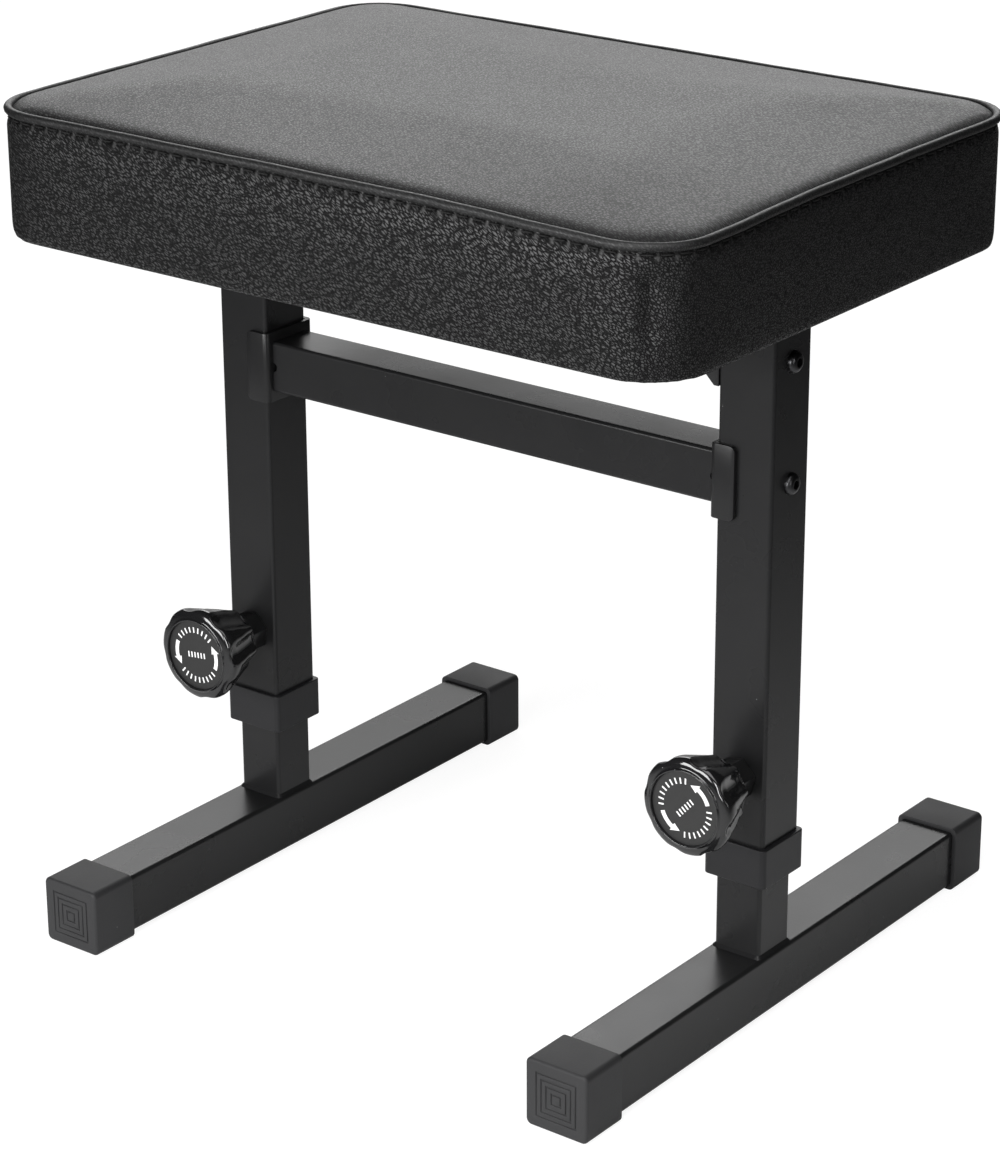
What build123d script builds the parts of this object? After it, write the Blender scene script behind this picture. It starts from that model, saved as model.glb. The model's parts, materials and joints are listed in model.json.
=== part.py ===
from build123d import *
import math
import os

# Keyboard bench: a padded seat on two posts that telescope out of two floor tubes.
# Millimetres. +X runs along the seat's long side, -Y is the front with the knobs, +Z is up.
# The origin is on the floor, in the middle of the footprint.

# Floor tubes and their end caps
BASE_TUBE_WIDTH = 30.0
BASE_TUBE_WALL = 1.5
BASE_TUBE_CORNER = 2.0
BASE_TUBE_LENGTH = 340.0
CAP_WALL = 2.25
CAP_END = 2.5
CAP_LENGTH = 27.0
CAP_CORNER = 3.2
CAP_EDGE = 1.6
CAP_RING_SHARES = (0.66, 0.5, 0.34, 0.17)
CAP_RING_WIDTH = 0.8
CAP_RING_DEPTH = 0.6

# Inner posts, welded on the floor tubes
POST_SETBACK = -16.0
# how far the posts' middles stand in from the seat's short sides
POST_INSET = 46.0
INNER_POST_WIDTH = 25.4
INNER_POST_WALL = 1.5
INNER_POST_CORNER = 1.8
# how far the inner posts stop short of the crossbar's middle
INNER_POST_DROP = 24.0
FOOT_WELD = 1.6
FOOT_WELD_SLOPE = 45.0
BUSH_DEPTH = 14.0
BUSH_FLANGE = 3.0
BUSH_BORE = 14.0

# Outer posts, their collars and what is bolted to them
OUTER_POST_WIDTH = 30.0
OUTER_POST_WALL = 1.5
OUTER_POST_CORNER = 2.0
COLLAR_FLOOR_HEIGHT = 71.4
COLLAR_HEIGHT = 20.0
COLLAR_WALL = 2.1
COLLAR_LIP = 2.0
COLLAR_CORNER = 2.6
COLLAR_EDGE = 0.6
SLIDE_CLEARANCE = 0.1
TRAVEL = 100.0
HOLE_PITCH = 25.0

# Crossbar and its saddles
CROSSBAR_WIDTH = 26.0
CROSSBAR_WALL = 1.5
CROSSBAR_CORNER = 1.8
# from the seat's underside down to the crossbar's middle
CROSSBAR_DROP = 86.2
CROSSBAR_NOTCH_RADIUS = 2.4
SADDLE_THICKNESS = 2.5
SADDLE_HEIGHT = 36.0
SADDLE_REACH = 11.0
SADDLE_CORNER = 3.0

# Seat brackets
BRACKET_THICKNESS = 2.5
BRACKET_LEG = 42.0
BRACKET_BOLT_DROP = 28.3

# M6 fasteners
BOLT_RADIUS = 3.0
BOLT_HOLE_CLEARANCE = 0.2
BOLT_HEAD_RADIUS = 5.25
BOLT_HEAD_HEIGHT = 3.3
BOLT_HEAD_FLAT_RADIUS = 2.8
BOLT_HEAD_BULGE = 0.6
BOLT_SOCKET_ACROSS_FLATS = 4.0
BOLT_SOCKET_DEPTH = 2.0
BOLT_END = 2.0
NUT_ACROSS_FLATS = 10.0
NUT_HEIGHT = 5.0
THREAD_CLEARANCE = 0.05
SEAT_SCREW_LENGTH = 16.0
SEAT_SCREW_INSET = 12.0
SEAT_SCREW_SPACING = 20.0
TEE_NUT_FLANGE_RADIUS = 8.5
TEE_NUT_FLANGE_HEIGHT = 1.2
TEE_NUT_BARREL_RADIUS = 3.9
TEE_NUT_LENGTH = 9.0

# Seat
SEAT_UNDERSIDE = 355.5
SEAT_WIDTH = 392.0
SEAT_DEPTH = 286.0
SEAT_CORNER = 31.0
BAND_HEIGHT = 61.5
# height up the band, extra width and depth there, all as shares of the band's height
BAND_SHARES = ((0.0, 0.0), (0.3, 0.02), (0.65, 0.026), (1.0, 0.0))
CROWN_HEIGHT = 8.0
# how far in from the edge, as shares of the crown's reach, and how high, as shares of its height
CROWN_SHARES = ((0.0, 0.0), (0.07, 0.36), (0.2, 0.66), (0.46, 0.88), (1.0, 1.0))
CROWN_REACH = 70.0
COVER_THICKNESS = 1.2
TURN_IN = 18.0
PIPING_RADIUS = 2.1
PIPING_SETBACK = 1.6
DUST_COVER_THICKNESS = 0.5
DUST_COVER_MARGIN = 10.0
BOARD_THICKNESS = 12.0
BOARD_MARGIN = 0.8

# Lock: distances are measured outwards from the outer post's front face
LOCK_HEIGHT = 125.0
BOSS_ACROSS_FLATS = 18.0
BOSS_LENGTH = 14.0
BOSS_CHAMFER = 0.8
BOSS_TURN = 15.0
BARREL_RADIUS = 5.95
RUNNING_CLEARANCE = 0.05
NOSE_CLEARANCE = 0.5
BARREL_END = 26.0
DRIVE_START = 16.0
DRIVE_ACROSS_FLATS = 13.0
DRIVE_CLEARANCE = 0.1
SPRING_CAVITY_RADIUS = 4.9
SPRING_CAVITY_START = 6.0
RETAINER_THICKNESS = 2.0
PIN_RADIUS = 3.5
PIN_TIP_CHAMFER = 0.9
PIN_HOLE_CLEARANCE = 0.4
PIN_FLANGE_RADIUS = 4.6
PIN_FLANGE_THICKNESS = 2.0
PIN_SHANK_RADIUS = 2.5
PIN_ENGAGEMENT = 6.0
SPRING_WIRE_RADIUS = 0.45
SPRING_RADIUS = 3.75
SPRING_TURNS = 5

# Knob
KNOB_BACK = 14.6
KNOB_LENGTH = 30.0
KNOB_BACK_RADIUS = 16.4
KNOB_RADIUS = 22.7
KNOB_WIDEST = 21.5
KNOB_RIM_RADIUS = 19.9
KNOB_RIM_INNER_RADIUS = 18.3
KNOB_SHOULDER = 27.6
KNOB_RECESS = 1.7
KNOB_EDGE = 0.5
KNOB_BACK_EDGE = 1.2
FLUTE_COUNT = 8
FLUTE_RADIUS = 6.5
FLUTE_DEPTH = 2.6
FLUTE_FRONT = 24.5
FLUTE_LEAN = 11.0
KNOB_COUNTERBORE_DEPTH = 6.5
KNOB_COUNTERBORE_CLEARANCE = 0.4
KNOB_SOCKET_DEPTH = 12.4
KNOB_WEB = 6.0
DISC_THICKNESS = 1.0
DISC_CLEARANCE = 0.1
KNOB_SCREW_RADIUS = 1.6
KNOB_SCREW_HEAD_RADIUS = 4.0
KNOB_SCREW_HEAD_HEIGHT = 2.0
KNOB_SCREW_LENGTH = 8.0
KNOB_SCREW_POCKET_RADIUS = 5.0

# One overrun for every cut that runs out of its piece
OVERRUN = 1.0

# Places that follow from the sizes above
POST_SPACING = SEAT_WIDTH - 2 * POST_INSET
CROSSBAR_HEIGHT = SEAT_UNDERSIDE - CROSSBAR_DROP
BASE_TUBE_TOP = CAP_WALL + BASE_TUBE_WIDTH
INNER_POST_TOP = CROSSBAR_HEIGHT - INNER_POST_DROP
OUTER_POST_BOTTOM = COLLAR_FLOOR_HEIGHT + COLLAR_LIP
OUTER_CAVITY = OUTER_POST_WIDTH - 2 * OUTER_POST_WALL
POST_FRONT = POST_SETBACK - OUTER_POST_WIDTH / 2
POST_INNER_SIDE = POST_SPACING / 2 - OUTER_POST_WIDTH / 2
BOLT_HOLE_RADIUS = BOLT_RADIUS + BOLT_HOLE_CLEARANCE
BRACKET_BOLT_HEIGHT = SEAT_UNDERSIDE - BRACKET_BOLT_DROP
POST_GAP = (OUTER_CAVITY - INNER_POST_WIDTH) / 2
INNER_POST_FACE = -(OUTER_POST_WALL + POST_GAP)
BARREL_NOSE = INNER_POST_FACE + NOSE_CLEARANCE
BORE_RADIUS = BARREL_RADIUS + RUNNING_CLEARANCE
PIN_FLANGE = SPRING_CAVITY_START + PIN_ENGAGEMENT
BAND_BOTTOM = SEAT_UNDERSIDE + DUST_COVER_THICKNESS
BAND_TOP = BAND_BOTTOM + BAND_HEIGHT
BOARD_BOTTOM = BAND_BOTTOM + COVER_THICKNESS
BOARD_TOP = BOARD_BOTTOM + BOARD_THICKNESS
WEB_START = KNOB_COUNTERBORE_DEPTH + KNOB_SOCKET_DEPTH
WEB_END = WEB_START + KNOB_WEB
SEAT_SCREW_PLACES = [
    POST_INNER_SIDE - SEAT_SCREW_INSET - step * SEAT_SCREW_SPACING for step in range(2)
]
SIDES = {"left": -1, "right": 1}


def rod(radius, bottom, top):
    """A round bar about the Z axis, from one height to another."""
    return Pos(0, 0, bottom) * extrude(Circle(radius), top - bottom)


def hex_bar(across_flats, bottom, top, turn=0.0):
    """A hexagonal bar about the Z axis."""
    outline = RegularPolygon(across_flats / 2, 6, major_radius=False, rotation=turn)
    return Pos(0, 0, bottom) * extrude(outline, top - bottom)


def rounded_bar(width, depth, corner, bottom, top):
    """A bar with rounded corners along the Z axis."""
    return Pos(0, 0, bottom) * extrude(RectangleRounded(width, depth, corner), top - bottom)


def square_tube(width, wall, corner, bottom, top):
    """A square tube along the Z axis."""
    inside = width - 2 * wall
    hollow = rounded_bar(inside, inside, corner - wall, bottom - OVERRUN, top + OVERRUN)
    return rounded_bar(width, width, corner, bottom, top) - hollow


def slab(bottom, top):
    """A block as large as the whole bench, between two heights."""
    side = 2 * (SEAT_WIDTH + SEAT_DEPTH)
    return Pos(0, 0, (bottom + top) / 2) * Box(side, side, top - bottom)


def along_x(x, y, z, outwards):
    """Turns a piece from the Z axis to the X axis, outwards as +1 or -1, and puts it in place."""
    return Pos(x, y, z) * Rot(0, 90 * outwards, 0)


def on_post_front(side):
    """Turns a lock piece from the Z axis to point forwards from a post's front face."""
    return Pos(side * POST_SPACING / 2, POST_FRONT, LOCK_HEIGHT) * Rot(90, 0, 0)


def make_base_tube(side):
    tube = square_tube(BASE_TUBE_WIDTH, BASE_TUBE_WALL, BASE_TUBE_CORNER, 0, BASE_TUBE_LENGTH)
    centre_height = CAP_WALL + BASE_TUBE_WIDTH / 2
    return Pos(side * POST_SPACING / 2, BASE_TUBE_LENGTH / 2, centre_height) * Rot(90, 0, 0) * tube


def make_cap():
    """An end cap whose closed end points along +Z, with its mouth at height zero."""
    size = BASE_TUBE_WIDTH + 2 * CAP_WALL
    body = rounded_bar(size, size, CAP_CORNER, 0, CAP_LENGTH)
    body = fillet(body.edges().group_by(Axis.Z)[-1], CAP_EDGE)
    pocket_end = CAP_LENGTH - CAP_END
    body -= rounded_bar(BASE_TUBE_WIDTH, BASE_TUBE_WIDTH, BASE_TUBE_CORNER, -OVERRUN, pocket_end)
    for share in CAP_RING_SHARES:
        ring = share * size
        inner = ring - 2 * CAP_RING_WIDTH
        groove = Rectangle(ring, ring) - Rectangle(inner, inner)
        body -= Pos(0, 0, CAP_LENGTH - CAP_RING_DEPTH) * extrude(groove, CAP_RING_DEPTH + OVERRUN)
    return body


def place_cap(cap, side, end):
    """Puts a cap on the front (end -1) or rear (end +1) of a floor tube."""
    mouth = BASE_TUBE_LENGTH / 2 - (CAP_LENGTH - CAP_END)
    centre_height = CAP_WALL + BASE_TUBE_WIDTH / 2
    return Pos(side * POST_SPACING / 2, end * mouth, centre_height) * Rot(-90 * end, 0, 0) * cap


def make_inner_post(side):
    """The square tube with its row of lock holes and the weld round its foot."""
    post = square_tube(INNER_POST_WIDTH, INNER_POST_WALL, INNER_POST_CORNER, BASE_TUBE_TOP, INNER_POST_TOP)
    foot = INNER_POST_WIDTH + 2 * FOOT_WELD
    outline = RectangleRounded(foot, foot, INNER_POST_CORNER + FOOT_WELD)
    weld = Pos(0, 0, BASE_TUBE_TOP) * extrude(outline, FOOT_WELD, taper=FOOT_WELD_SLOPE)
    weld -= rounded_bar(
        INNER_POST_WIDTH, INNER_POST_WIDTH, INNER_POST_CORNER, BASE_TUBE_TOP - OVERRUN, INNER_POST_TOP
    )
    post += weld
    hole_radius = PIN_RADIUS + PIN_HOLE_CLEARANCE
    hole = Rot(90, 0, 0) * rod(hole_radius, 0, INNER_POST_WIDTH)
    for step in range(round(TRAVEL / HOLE_PITCH) + 1):
        post -= Pos(0, 0, LOCK_HEIGHT + step * HOLE_PITCH) * hole
    return Pos(side * POST_SPACING / 2, POST_SETBACK, 0) * post


def make_guide_bush(side):
    """The plug in the inner post's top, with a flange that slides in the outer post."""
    inside = INNER_POST_WIDTH - 2 * INNER_POST_WALL
    plug_corner = INNER_POST_CORNER - INNER_POST_WALL
    bush = rounded_bar(inside, inside, plug_corner, INNER_POST_TOP - BUSH_DEPTH, INNER_POST_TOP)
    flange = OUTER_CAVITY - 2 * SLIDE_CLEARANCE
    flange_top = INNER_POST_TOP + BUSH_FLANGE
    bush += rounded_bar(flange, flange, OUTER_POST_CORNER - OUTER_POST_WALL, INNER_POST_TOP, flange_top)
    bush -= rod(BUSH_BORE / 2, INNER_POST_TOP - BUSH_DEPTH - OVERRUN, flange_top + OVERRUN)
    return Pos(side * POST_SPACING / 2, POST_SETBACK, 0) * bush


def make_outer_post(side):
    post = square_tube(
        OUTER_POST_WIDTH, OUTER_POST_WALL, OUTER_POST_CORNER, OUTER_POST_BOTTOM, SEAT_UNDERSIDE
    )
    lock_hole = Rot(90, 0, 0) * rod(BORE_RADIUS, 0, OUTER_POST_WIDTH)
    post -= Pos(0, 0, LOCK_HEIGHT) * lock_hole
    bolt_hole = Rot(0, 90, 0) * rod(BOLT_HOLE_RADIUS, -OUTER_POST_WIDTH, OUTER_POST_WIDTH)
    for height in (CROSSBAR_HEIGHT, BRACKET_BOLT_HEIGHT):
        post -= Pos(0, 0, height) * bolt_hole
    return Pos(side * POST_SPACING / 2, POST_SETBACK, 0) * post


def make_collar(side):
    """The sleeve round the outer post's lower end, with a lip that guides the inner post."""
    size = OUTER_POST_WIDTH + 2 * COLLAR_WALL
    top = COLLAR_FLOOR_HEIGHT + COLLAR_HEIGHT
    sleeve = rounded_bar(size, size, COLLAR_CORNER, COLLAR_FLOOR_HEIGHT, top)
    rims = sleeve.edges().group_by(Axis.Z)
    sleeve = fillet(rims[0] + rims[-1], COLLAR_EDGE)
    sleeve -= rounded_bar(
        OUTER_POST_WIDTH, OUTER_POST_WIDTH, OUTER_POST_CORNER, OUTER_POST_BOTTOM, top + OVERRUN
    )
    mouth = INNER_POST_WIDTH + 2 * SLIDE_CLEARANCE
    sleeve -= rounded_bar(
        mouth, mouth, INNER_POST_CORNER, COLLAR_FLOOR_HEIGHT - OVERRUN, OUTER_POST_BOTTOM + OVERRUN
    )
    return Pos(side * POST_SPACING / 2, POST_SETBACK, 0) * sleeve


def make_crossbar():
    half = POST_INNER_SIDE - SADDLE_THICKNESS
    bar = square_tube(CROSSBAR_WIDTH, CROSSBAR_WALL, CROSSBAR_CORNER, -half, half)
    bar = Pos(0, POST_SETBACK, CROSSBAR_HEIGHT) * Rot(0, 90, 0) * bar
    notch = Rot(90, 0, 0) * rod(CROSSBAR_NOTCH_RADIUS, 0, CROSSBAR_WIDTH)
    for side in SIDES.values():
        bar -= Pos(side * half, POST_SETBACK, CROSSBAR_HEIGHT) * notch
    return bar


def make_saddle(side):
    """The bent plate that straddles a post: a web on its inner side and a flange front and back."""
    inside = OUTER_POST_WIDTH
    outside = inside + 2 * SADDLE_THICKNESS
    length = SADDLE_THICKNESS + SADDLE_REACH
    plan = Pos(length / 2, 0) * Rectangle(length, outside)
    plan = fillet(plan.vertices().group_by(Axis.X)[0], SADDLE_CORNER)
    hollow_length = 2 * SADDLE_REACH
    hollow = Pos(SADDLE_THICKNESS + hollow_length / 2, 0) * Rectangle(hollow_length, inside)
    plate = extrude(plan - hollow, SADDLE_HEIGHT)
    free_ends = plate.edges().filter_by(Axis.Y).group_by(Axis.X)[-1]
    plate = fillet(free_ends, SADDLE_CORNER)
    plate -= Pos(0, 0, SADDLE_HEIGHT / 2) * Rot(0, 90, 0) * rod(BOLT_HOLE_RADIUS, -OVERRUN, length)
    turn = 0 if side > 0 else 180
    return (
        Pos(side * (POST_INNER_SIDE - SADDLE_THICKNESS), POST_SETBACK, CROSSBAR_HEIGHT - SADDLE_HEIGHT / 2)
        * Rot(0, 0, turn)
        * plate
    )


def make_seat_bracket(side):
    """The gusseted angle that joins a post's inner side to the seat's underside."""
    width = OUTER_POST_WIDTH
    side_view = Polyline(
        (0, 0),
        (-BRACKET_LEG, 0),
        (-BRACKET_LEG, -BRACKET_THICKNESS),
        (-BRACKET_THICKNESS, -BRACKET_LEG),
        (0, -BRACKET_LEG),
        close=True,
    )
    block = Rot(90, 0, 0) * extrude(make_face(side_view), width / 2, both=True)
    room = width - 2 * BRACKET_THICKNESS
    reach = BRACKET_LEG + OVERRUN
    middle = -BRACKET_THICKNESS - reach / 2
    block -= Pos(middle, 0, middle) * Box(reach, room, reach)
    bolt_hole = Rot(0, 90, 0) * rod(BOLT_HOLE_RADIUS, -BRACKET_LEG, BRACKET_LEG)
    block -= Pos(0, 0, -BRACKET_BOLT_DROP) * bolt_hole
    for place in SEAT_SCREW_PLACES:
        block -= Pos(place - POST_INNER_SIDE, 0, 0) * rod(BOLT_HOLE_RADIUS, -BRACKET_LEG, OVERRUN)
    turn = 0 if side > 0 else 180
    return Pos(side * POST_INNER_SIDE, POST_SETBACK, SEAT_UNDERSIDE) * Rot(0, 0, turn) * block


def make_button_bolt(length):
    """A button-head bolt with a hexagon socket: its head stands on the origin, its shank points down."""
    dome_reach = (BOLT_HEAD_RADIUS + BOLT_HEAD_FLAT_RADIUS) / 2 + BOLT_HEAD_BULGE
    profile = make_face(
        Line((0, 0), (BOLT_HEAD_RADIUS, 0))
        + ThreePointArc(
            (BOLT_HEAD_RADIUS, 0),
            (dome_reach, BOLT_HEAD_HEIGHT / 2 + BOLT_HEAD_BULGE),
            (BOLT_HEAD_FLAT_RADIUS, BOLT_HEAD_HEIGHT),
        )
        + Line((BOLT_HEAD_FLAT_RADIUS, BOLT_HEAD_HEIGHT), (0, BOLT_HEAD_HEIGHT))
        + Line((0, BOLT_HEAD_HEIGHT), (0, 0))
    )
    head = revolve(Rot(90, 0, 0) * profile, Axis.Z)
    head -= hex_bar(
        BOLT_SOCKET_ACROSS_FLATS, BOLT_HEAD_HEIGHT - BOLT_SOCKET_DEPTH, BOLT_HEAD_HEIGHT + OVERRUN
    )
    return head + rod(BOLT_RADIUS, -length, 0)


def make_nut():
    """A nut on the Z axis, from height zero upwards."""
    bore = rod(BOLT_RADIUS + THREAD_CLEARANCE, -OVERRUN, NUT_HEIGHT + OVERRUN)
    return hex_bar(NUT_ACROSS_FLATS, 0, NUT_HEIGHT) - bore


def make_post_bolts(height, plate):
    """The bolts through both posts at one height, long enough for a plate and a nut behind it."""
    bolt = make_button_bolt(OUTER_POST_WIDTH + plate + NUT_HEIGHT + BOLT_END)
    outer_side = POST_SPACING / 2 + OUTER_POST_WIDTH / 2
    return [along_x(side * outer_side, POST_SETBACK, height, side) * bolt for side in SIDES.values()]


def make_nuts():
    nuts = []
    for height, plate in ((CROSSBAR_HEIGHT, SADDLE_THICKNESS), (BRACKET_BOLT_HEIGHT, BRACKET_THICKNESS)):
        for side in SIDES.values():
            face = side * (POST_INNER_SIDE - plate)
            nuts.append(along_x(face, POST_SETBACK, height, -side) * make_nut())
    return nuts


def make_seat_screws():
    screw = Rot(180, 0, 0) * make_button_bolt(SEAT_SCREW_LENGTH)
    head_height = SEAT_UNDERSIDE - BRACKET_THICKNESS
    return [
        Pos(side * place, POST_SETBACK, head_height) * screw
        for side in SIDES.values()
        for place in SEAT_SCREW_PLACES
    ]


def make_tee_nuts():
    nut = rod(TEE_NUT_FLANGE_RADIUS, 0, TEE_NUT_FLANGE_HEIGHT)
    nut += rod(TEE_NUT_BARREL_RADIUS, -TEE_NUT_LENGTH, 0)
    nut -= rod(BOLT_RADIUS + THREAD_CLEARANCE, -TEE_NUT_LENGTH - OVERRUN, TEE_NUT_FLANGE_HEIGHT + OVERRUN)
    return [
        Pos(side * place, POST_SETBACK, BOARD_TOP) * nut
        for side in SIDES.values()
        for place in SEAT_SCREW_PLACES
    ]


def seat_outline(inset, height):
    """The seat's rounded outline at one height, drawn in by an inset."""
    outline = RectangleRounded(SEAT_WIDTH - 2 * inset, SEAT_DEPTH - 2 * inset, SEAT_CORNER)
    return Pos(0, POST_SETBACK, height) * outline


def make_band_block(inset):
    """The space inside the side band, whose sides bulge a little."""
    sections = [
        seat_outline(inset - bulge * BAND_HEIGHT, BAND_BOTTOM + share * BAND_HEIGHT)
        for share, bulge in BAND_SHARES
    ]
    return loft(sections)


def make_crown_block(inset):
    """The domed space above the band, rising from the middle of the piping."""
    edge = PIPING_SETBACK + inset
    sections = [
        seat_outline(edge + reach * CROWN_REACH, BAND_TOP + rise * CROWN_HEIGHT - inset * (rise > 0))
        for reach, rise in CROWN_SHARES
    ]
    return loft(sections, ruled=True)


def make_piping():
    path = seat_outline(PIPING_SETBACK, BAND_TOP).face().outer_wire()
    section = Plane(path @ 0, z_dir=path % 0) * Circle(PIPING_RADIUS)
    return sweep(section, path)


def make_seat_board():
    margin = COVER_THICKNESS + BOARD_MARGIN
    board = extrude(seat_outline(margin, BOARD_BOTTOM), BOARD_THICKNESS)
    for side in SIDES.values():
        for place in SEAT_SCREW_PLACES:
            hole = rod(TEE_NUT_BARREL_RADIUS, BOARD_BOTTOM - OVERRUN, BOARD_TOP + OVERRUN)
            board -= Pos(side * place, POST_SETBACK, 0) * hole
    return board


def make_seat_foam(piping):
    foam = make_band_block(COVER_THICKNESS) + make_crown_block(COVER_THICKNESS)
    foam &= slab(BOARD_TOP, BAND_TOP + CROWN_HEIGHT + OVERRUN)
    foam -= piping
    for side in SIDES.values():
        for place in SEAT_SCREW_PLACES:
            pocket = rod(TEE_NUT_FLANGE_RADIUS, BOARD_TOP - OVERRUN, BOARD_TOP + TEE_NUT_FLANGE_HEIGHT)
            foam -= Pos(side * place, POST_SETBACK, 0) * pocket
    return foam


def make_cover_side(piping):
    """The side band, folded in under the board."""
    band = make_band_block(0)
    band -= make_band_block(COVER_THICKNESS) & slab(BOARD_BOTTOM, BAND_TOP + OVERRUN)
    band -= extrude(seat_outline(TURN_IN, BAND_BOTTOM - OVERRUN), COVER_THICKNESS + 2 * OVERRUN)
    return band - piping


def make_cover_top(piping):
    return make_crown_block(0) - make_crown_block(COVER_THICKNESS) - piping


def make_dust_cover():
    sheet = extrude(seat_outline(DUST_COVER_MARGIN, SEAT_UNDERSIDE), DUST_COVER_THICKNESS)
    for side in SIDES.values():
        for place in SEAT_SCREW_PLACES:
            hole = rod(BOLT_HOLE_RADIUS, SEAT_UNDERSIDE - OVERRUN, BAND_BOTTOM + OVERRUN)
            sheet -= Pos(side * place, POST_SETBACK, 0) * hole
    return sheet


def make_lock_boss():
    boss = hex_bar(BOSS_ACROSS_FLATS, 0, BOSS_LENGTH, BOSS_TURN)
    boss = chamfer(boss.edges().group_by(Axis.Z)[-1], BOSS_CHAMFER)
    return boss - rod(BORE_RADIUS, -OVERRUN, BOSS_LENGTH + OVERRUN)


def make_lock_barrel():
    """The hollow threaded barrel, with the hexagonal drive that the knob slides on."""
    barrel = rod(BARREL_RADIUS, BARREL_NOSE, DRIVE_START)
    barrel += hex_bar(DRIVE_ACROSS_FLATS, DRIVE_START, BARREL_END)
    barrel -= rod(PIN_RADIUS + RUNNING_CLEARANCE, BARREL_NOSE - OVERRUN, SPRING_CAVITY_START + OVERRUN)
    barrel -= rod(SPRING_CAVITY_RADIUS, SPRING_CAVITY_START, BARREL_END + OVERRUN)
    return barrel


def make_spring_retainer():
    ring = rod(SPRING_CAVITY_RADIUS, BARREL_END - RETAINER_THICKNESS, BARREL_END)
    return ring - rod(PIN_SHANK_RADIUS + RUNNING_CLEARANCE, 0, BARREL_END + OVERRUN)


def make_lock_pin():
    """The pin, drawn clear of the inner post, with the flange that the spring pushes."""
    shank_end = KNOB_BACK + WEB_END
    body = rod(PIN_RADIUS, BARREL_NOSE, PIN_FLANGE)
    body = chamfer(body.edges().group_by(Axis.Z)[0], PIN_TIP_CHAMFER)
    body += rod(PIN_FLANGE_RADIUS, PIN_FLANGE, PIN_FLANGE + PIN_FLANGE_THICKNESS)
    body += rod(PIN_SHANK_RADIUS, PIN_FLANGE, shank_end)
    screw_hole = rod(
        KNOB_SCREW_RADIUS + THREAD_CLEARANCE, shank_end - KNOB_SCREW_LENGTH - OVERRUN, shank_end + OVERRUN
    )
    return body - screw_hole


def make_lock_spring():
    """The coil between the pin's flange and the retainer, each end just touching."""
    bottom = PIN_FLANGE + PIN_FLANGE_THICKNESS + SPRING_WIRE_RADIUS
    height = BARREL_END - RETAINER_THICKNESS - SPRING_WIRE_RADIUS - bottom
    path = Pos(0, 0, bottom) * Helix(height / SPRING_TURNS, height, SPRING_RADIUS)
    section = Plane(path @ 0, z_dir=path % 0) * RegularPolygon(SPRING_WIRE_RADIUS, 6)
    return sweep(section, path, is_frenet=True)


def make_knob_body():
    """The knob's outer form: a barrel that widens towards the front, with a raised rim."""
    shoulder_reach = (KNOB_RADIUS + KNOB_RIM_RADIUS) / 2 + KNOB_EDGE
    shoulder_middle = (KNOB_WIDEST + KNOB_SHOULDER) / 2 + KNOB_EDGE
    outline = make_face(
        Polyline((0, 0), (KNOB_BACK_RADIUS - KNOB_BACK_EDGE, 0), (KNOB_BACK_RADIUS, KNOB_BACK_EDGE))
        + ThreePointArc(
            (KNOB_BACK_RADIUS, KNOB_BACK_EDGE),
            ((KNOB_BACK_RADIUS + KNOB_RADIUS) / 2 + KNOB_EDGE, KNOB_WIDEST / 2),
            (KNOB_RADIUS, KNOB_WIDEST),
        )
        + ThreePointArc(
            (KNOB_RADIUS, KNOB_WIDEST),
            (shoulder_reach, shoulder_middle),
            (KNOB_RIM_RADIUS, KNOB_SHOULDER),
        )
        + Polyline(
            (KNOB_RIM_RADIUS, KNOB_SHOULDER),
            (KNOB_RIM_RADIUS - KNOB_EDGE / 2, KNOB_LENGTH - KNOB_EDGE),
            (KNOB_RIM_RADIUS - KNOB_EDGE, KNOB_LENGTH),
            (KNOB_RIM_INNER_RADIUS, KNOB_LENGTH),
            (KNOB_RIM_INNER_RADIUS, KNOB_LENGTH - KNOB_RECESS - DISC_THICKNESS),
            (0, KNOB_LENGTH - KNOB_RECESS - DISC_THICKNESS),
            (0, 0),
        )
    )
    return revolve(Rot(90, 0, 0) * outline, Axis.Z)


def make_flute():
    """A round-nosed groove that leans with the knob's taper and runs out at its back."""
    tool = Rot(180, 0, 0) * rod(FLUTE_RADIUS, 0, 2 * KNOB_LENGTH) + Sphere(FLUTE_RADIUS)
    reach = KNOB_RADIUS - FLUTE_DEPTH + FLUTE_RADIUS
    return Pos(reach, 0, FLUTE_FRONT - FLUTE_RADIUS) * Rot(0, FLUTE_LEAN, 0) * tool


def make_knob():
    knob = make_knob_body()
    flute = make_flute()
    for step in range(FLUTE_COUNT):
        knob -= Rot(0, 0, 360 * step / FLUTE_COUNT) * flute
    boss_radius = BOSS_ACROSS_FLATS / math.sqrt(3)
    knob -= rod(boss_radius + KNOB_COUNTERBORE_CLEARANCE, -OVERRUN, KNOB_COUNTERBORE_DEPTH)
    knob -= hex_bar(DRIVE_ACROSS_FLATS + 2 * DRIVE_CLEARANCE, 0, WEB_START)
    knob -= rod(PIN_SHANK_RADIUS + THREAD_CLEARANCE, 0, WEB_END + OVERRUN)
    knob -= rod(KNOB_SCREW_POCKET_RADIUS, WEB_END, KNOB_LENGTH)
    return Pos(0, 0, KNOB_BACK) * knob


def make_knob_screw():
    top = KNOB_BACK + WEB_END
    screw = rod(KNOB_SCREW_HEAD_RADIUS, top, top + KNOB_SCREW_HEAD_HEIGHT)
    return screw + rod(KNOB_SCREW_RADIUS, top - KNOB_SCREW_LENGTH, top)


def make_knob_disc():
    top = KNOB_BACK + KNOB_LENGTH - KNOB_RECESS
    return rod(KNOB_RIM_INNER_RADIUS - DISC_CLEARANCE, top - DISC_THICKNESS, top)


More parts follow.
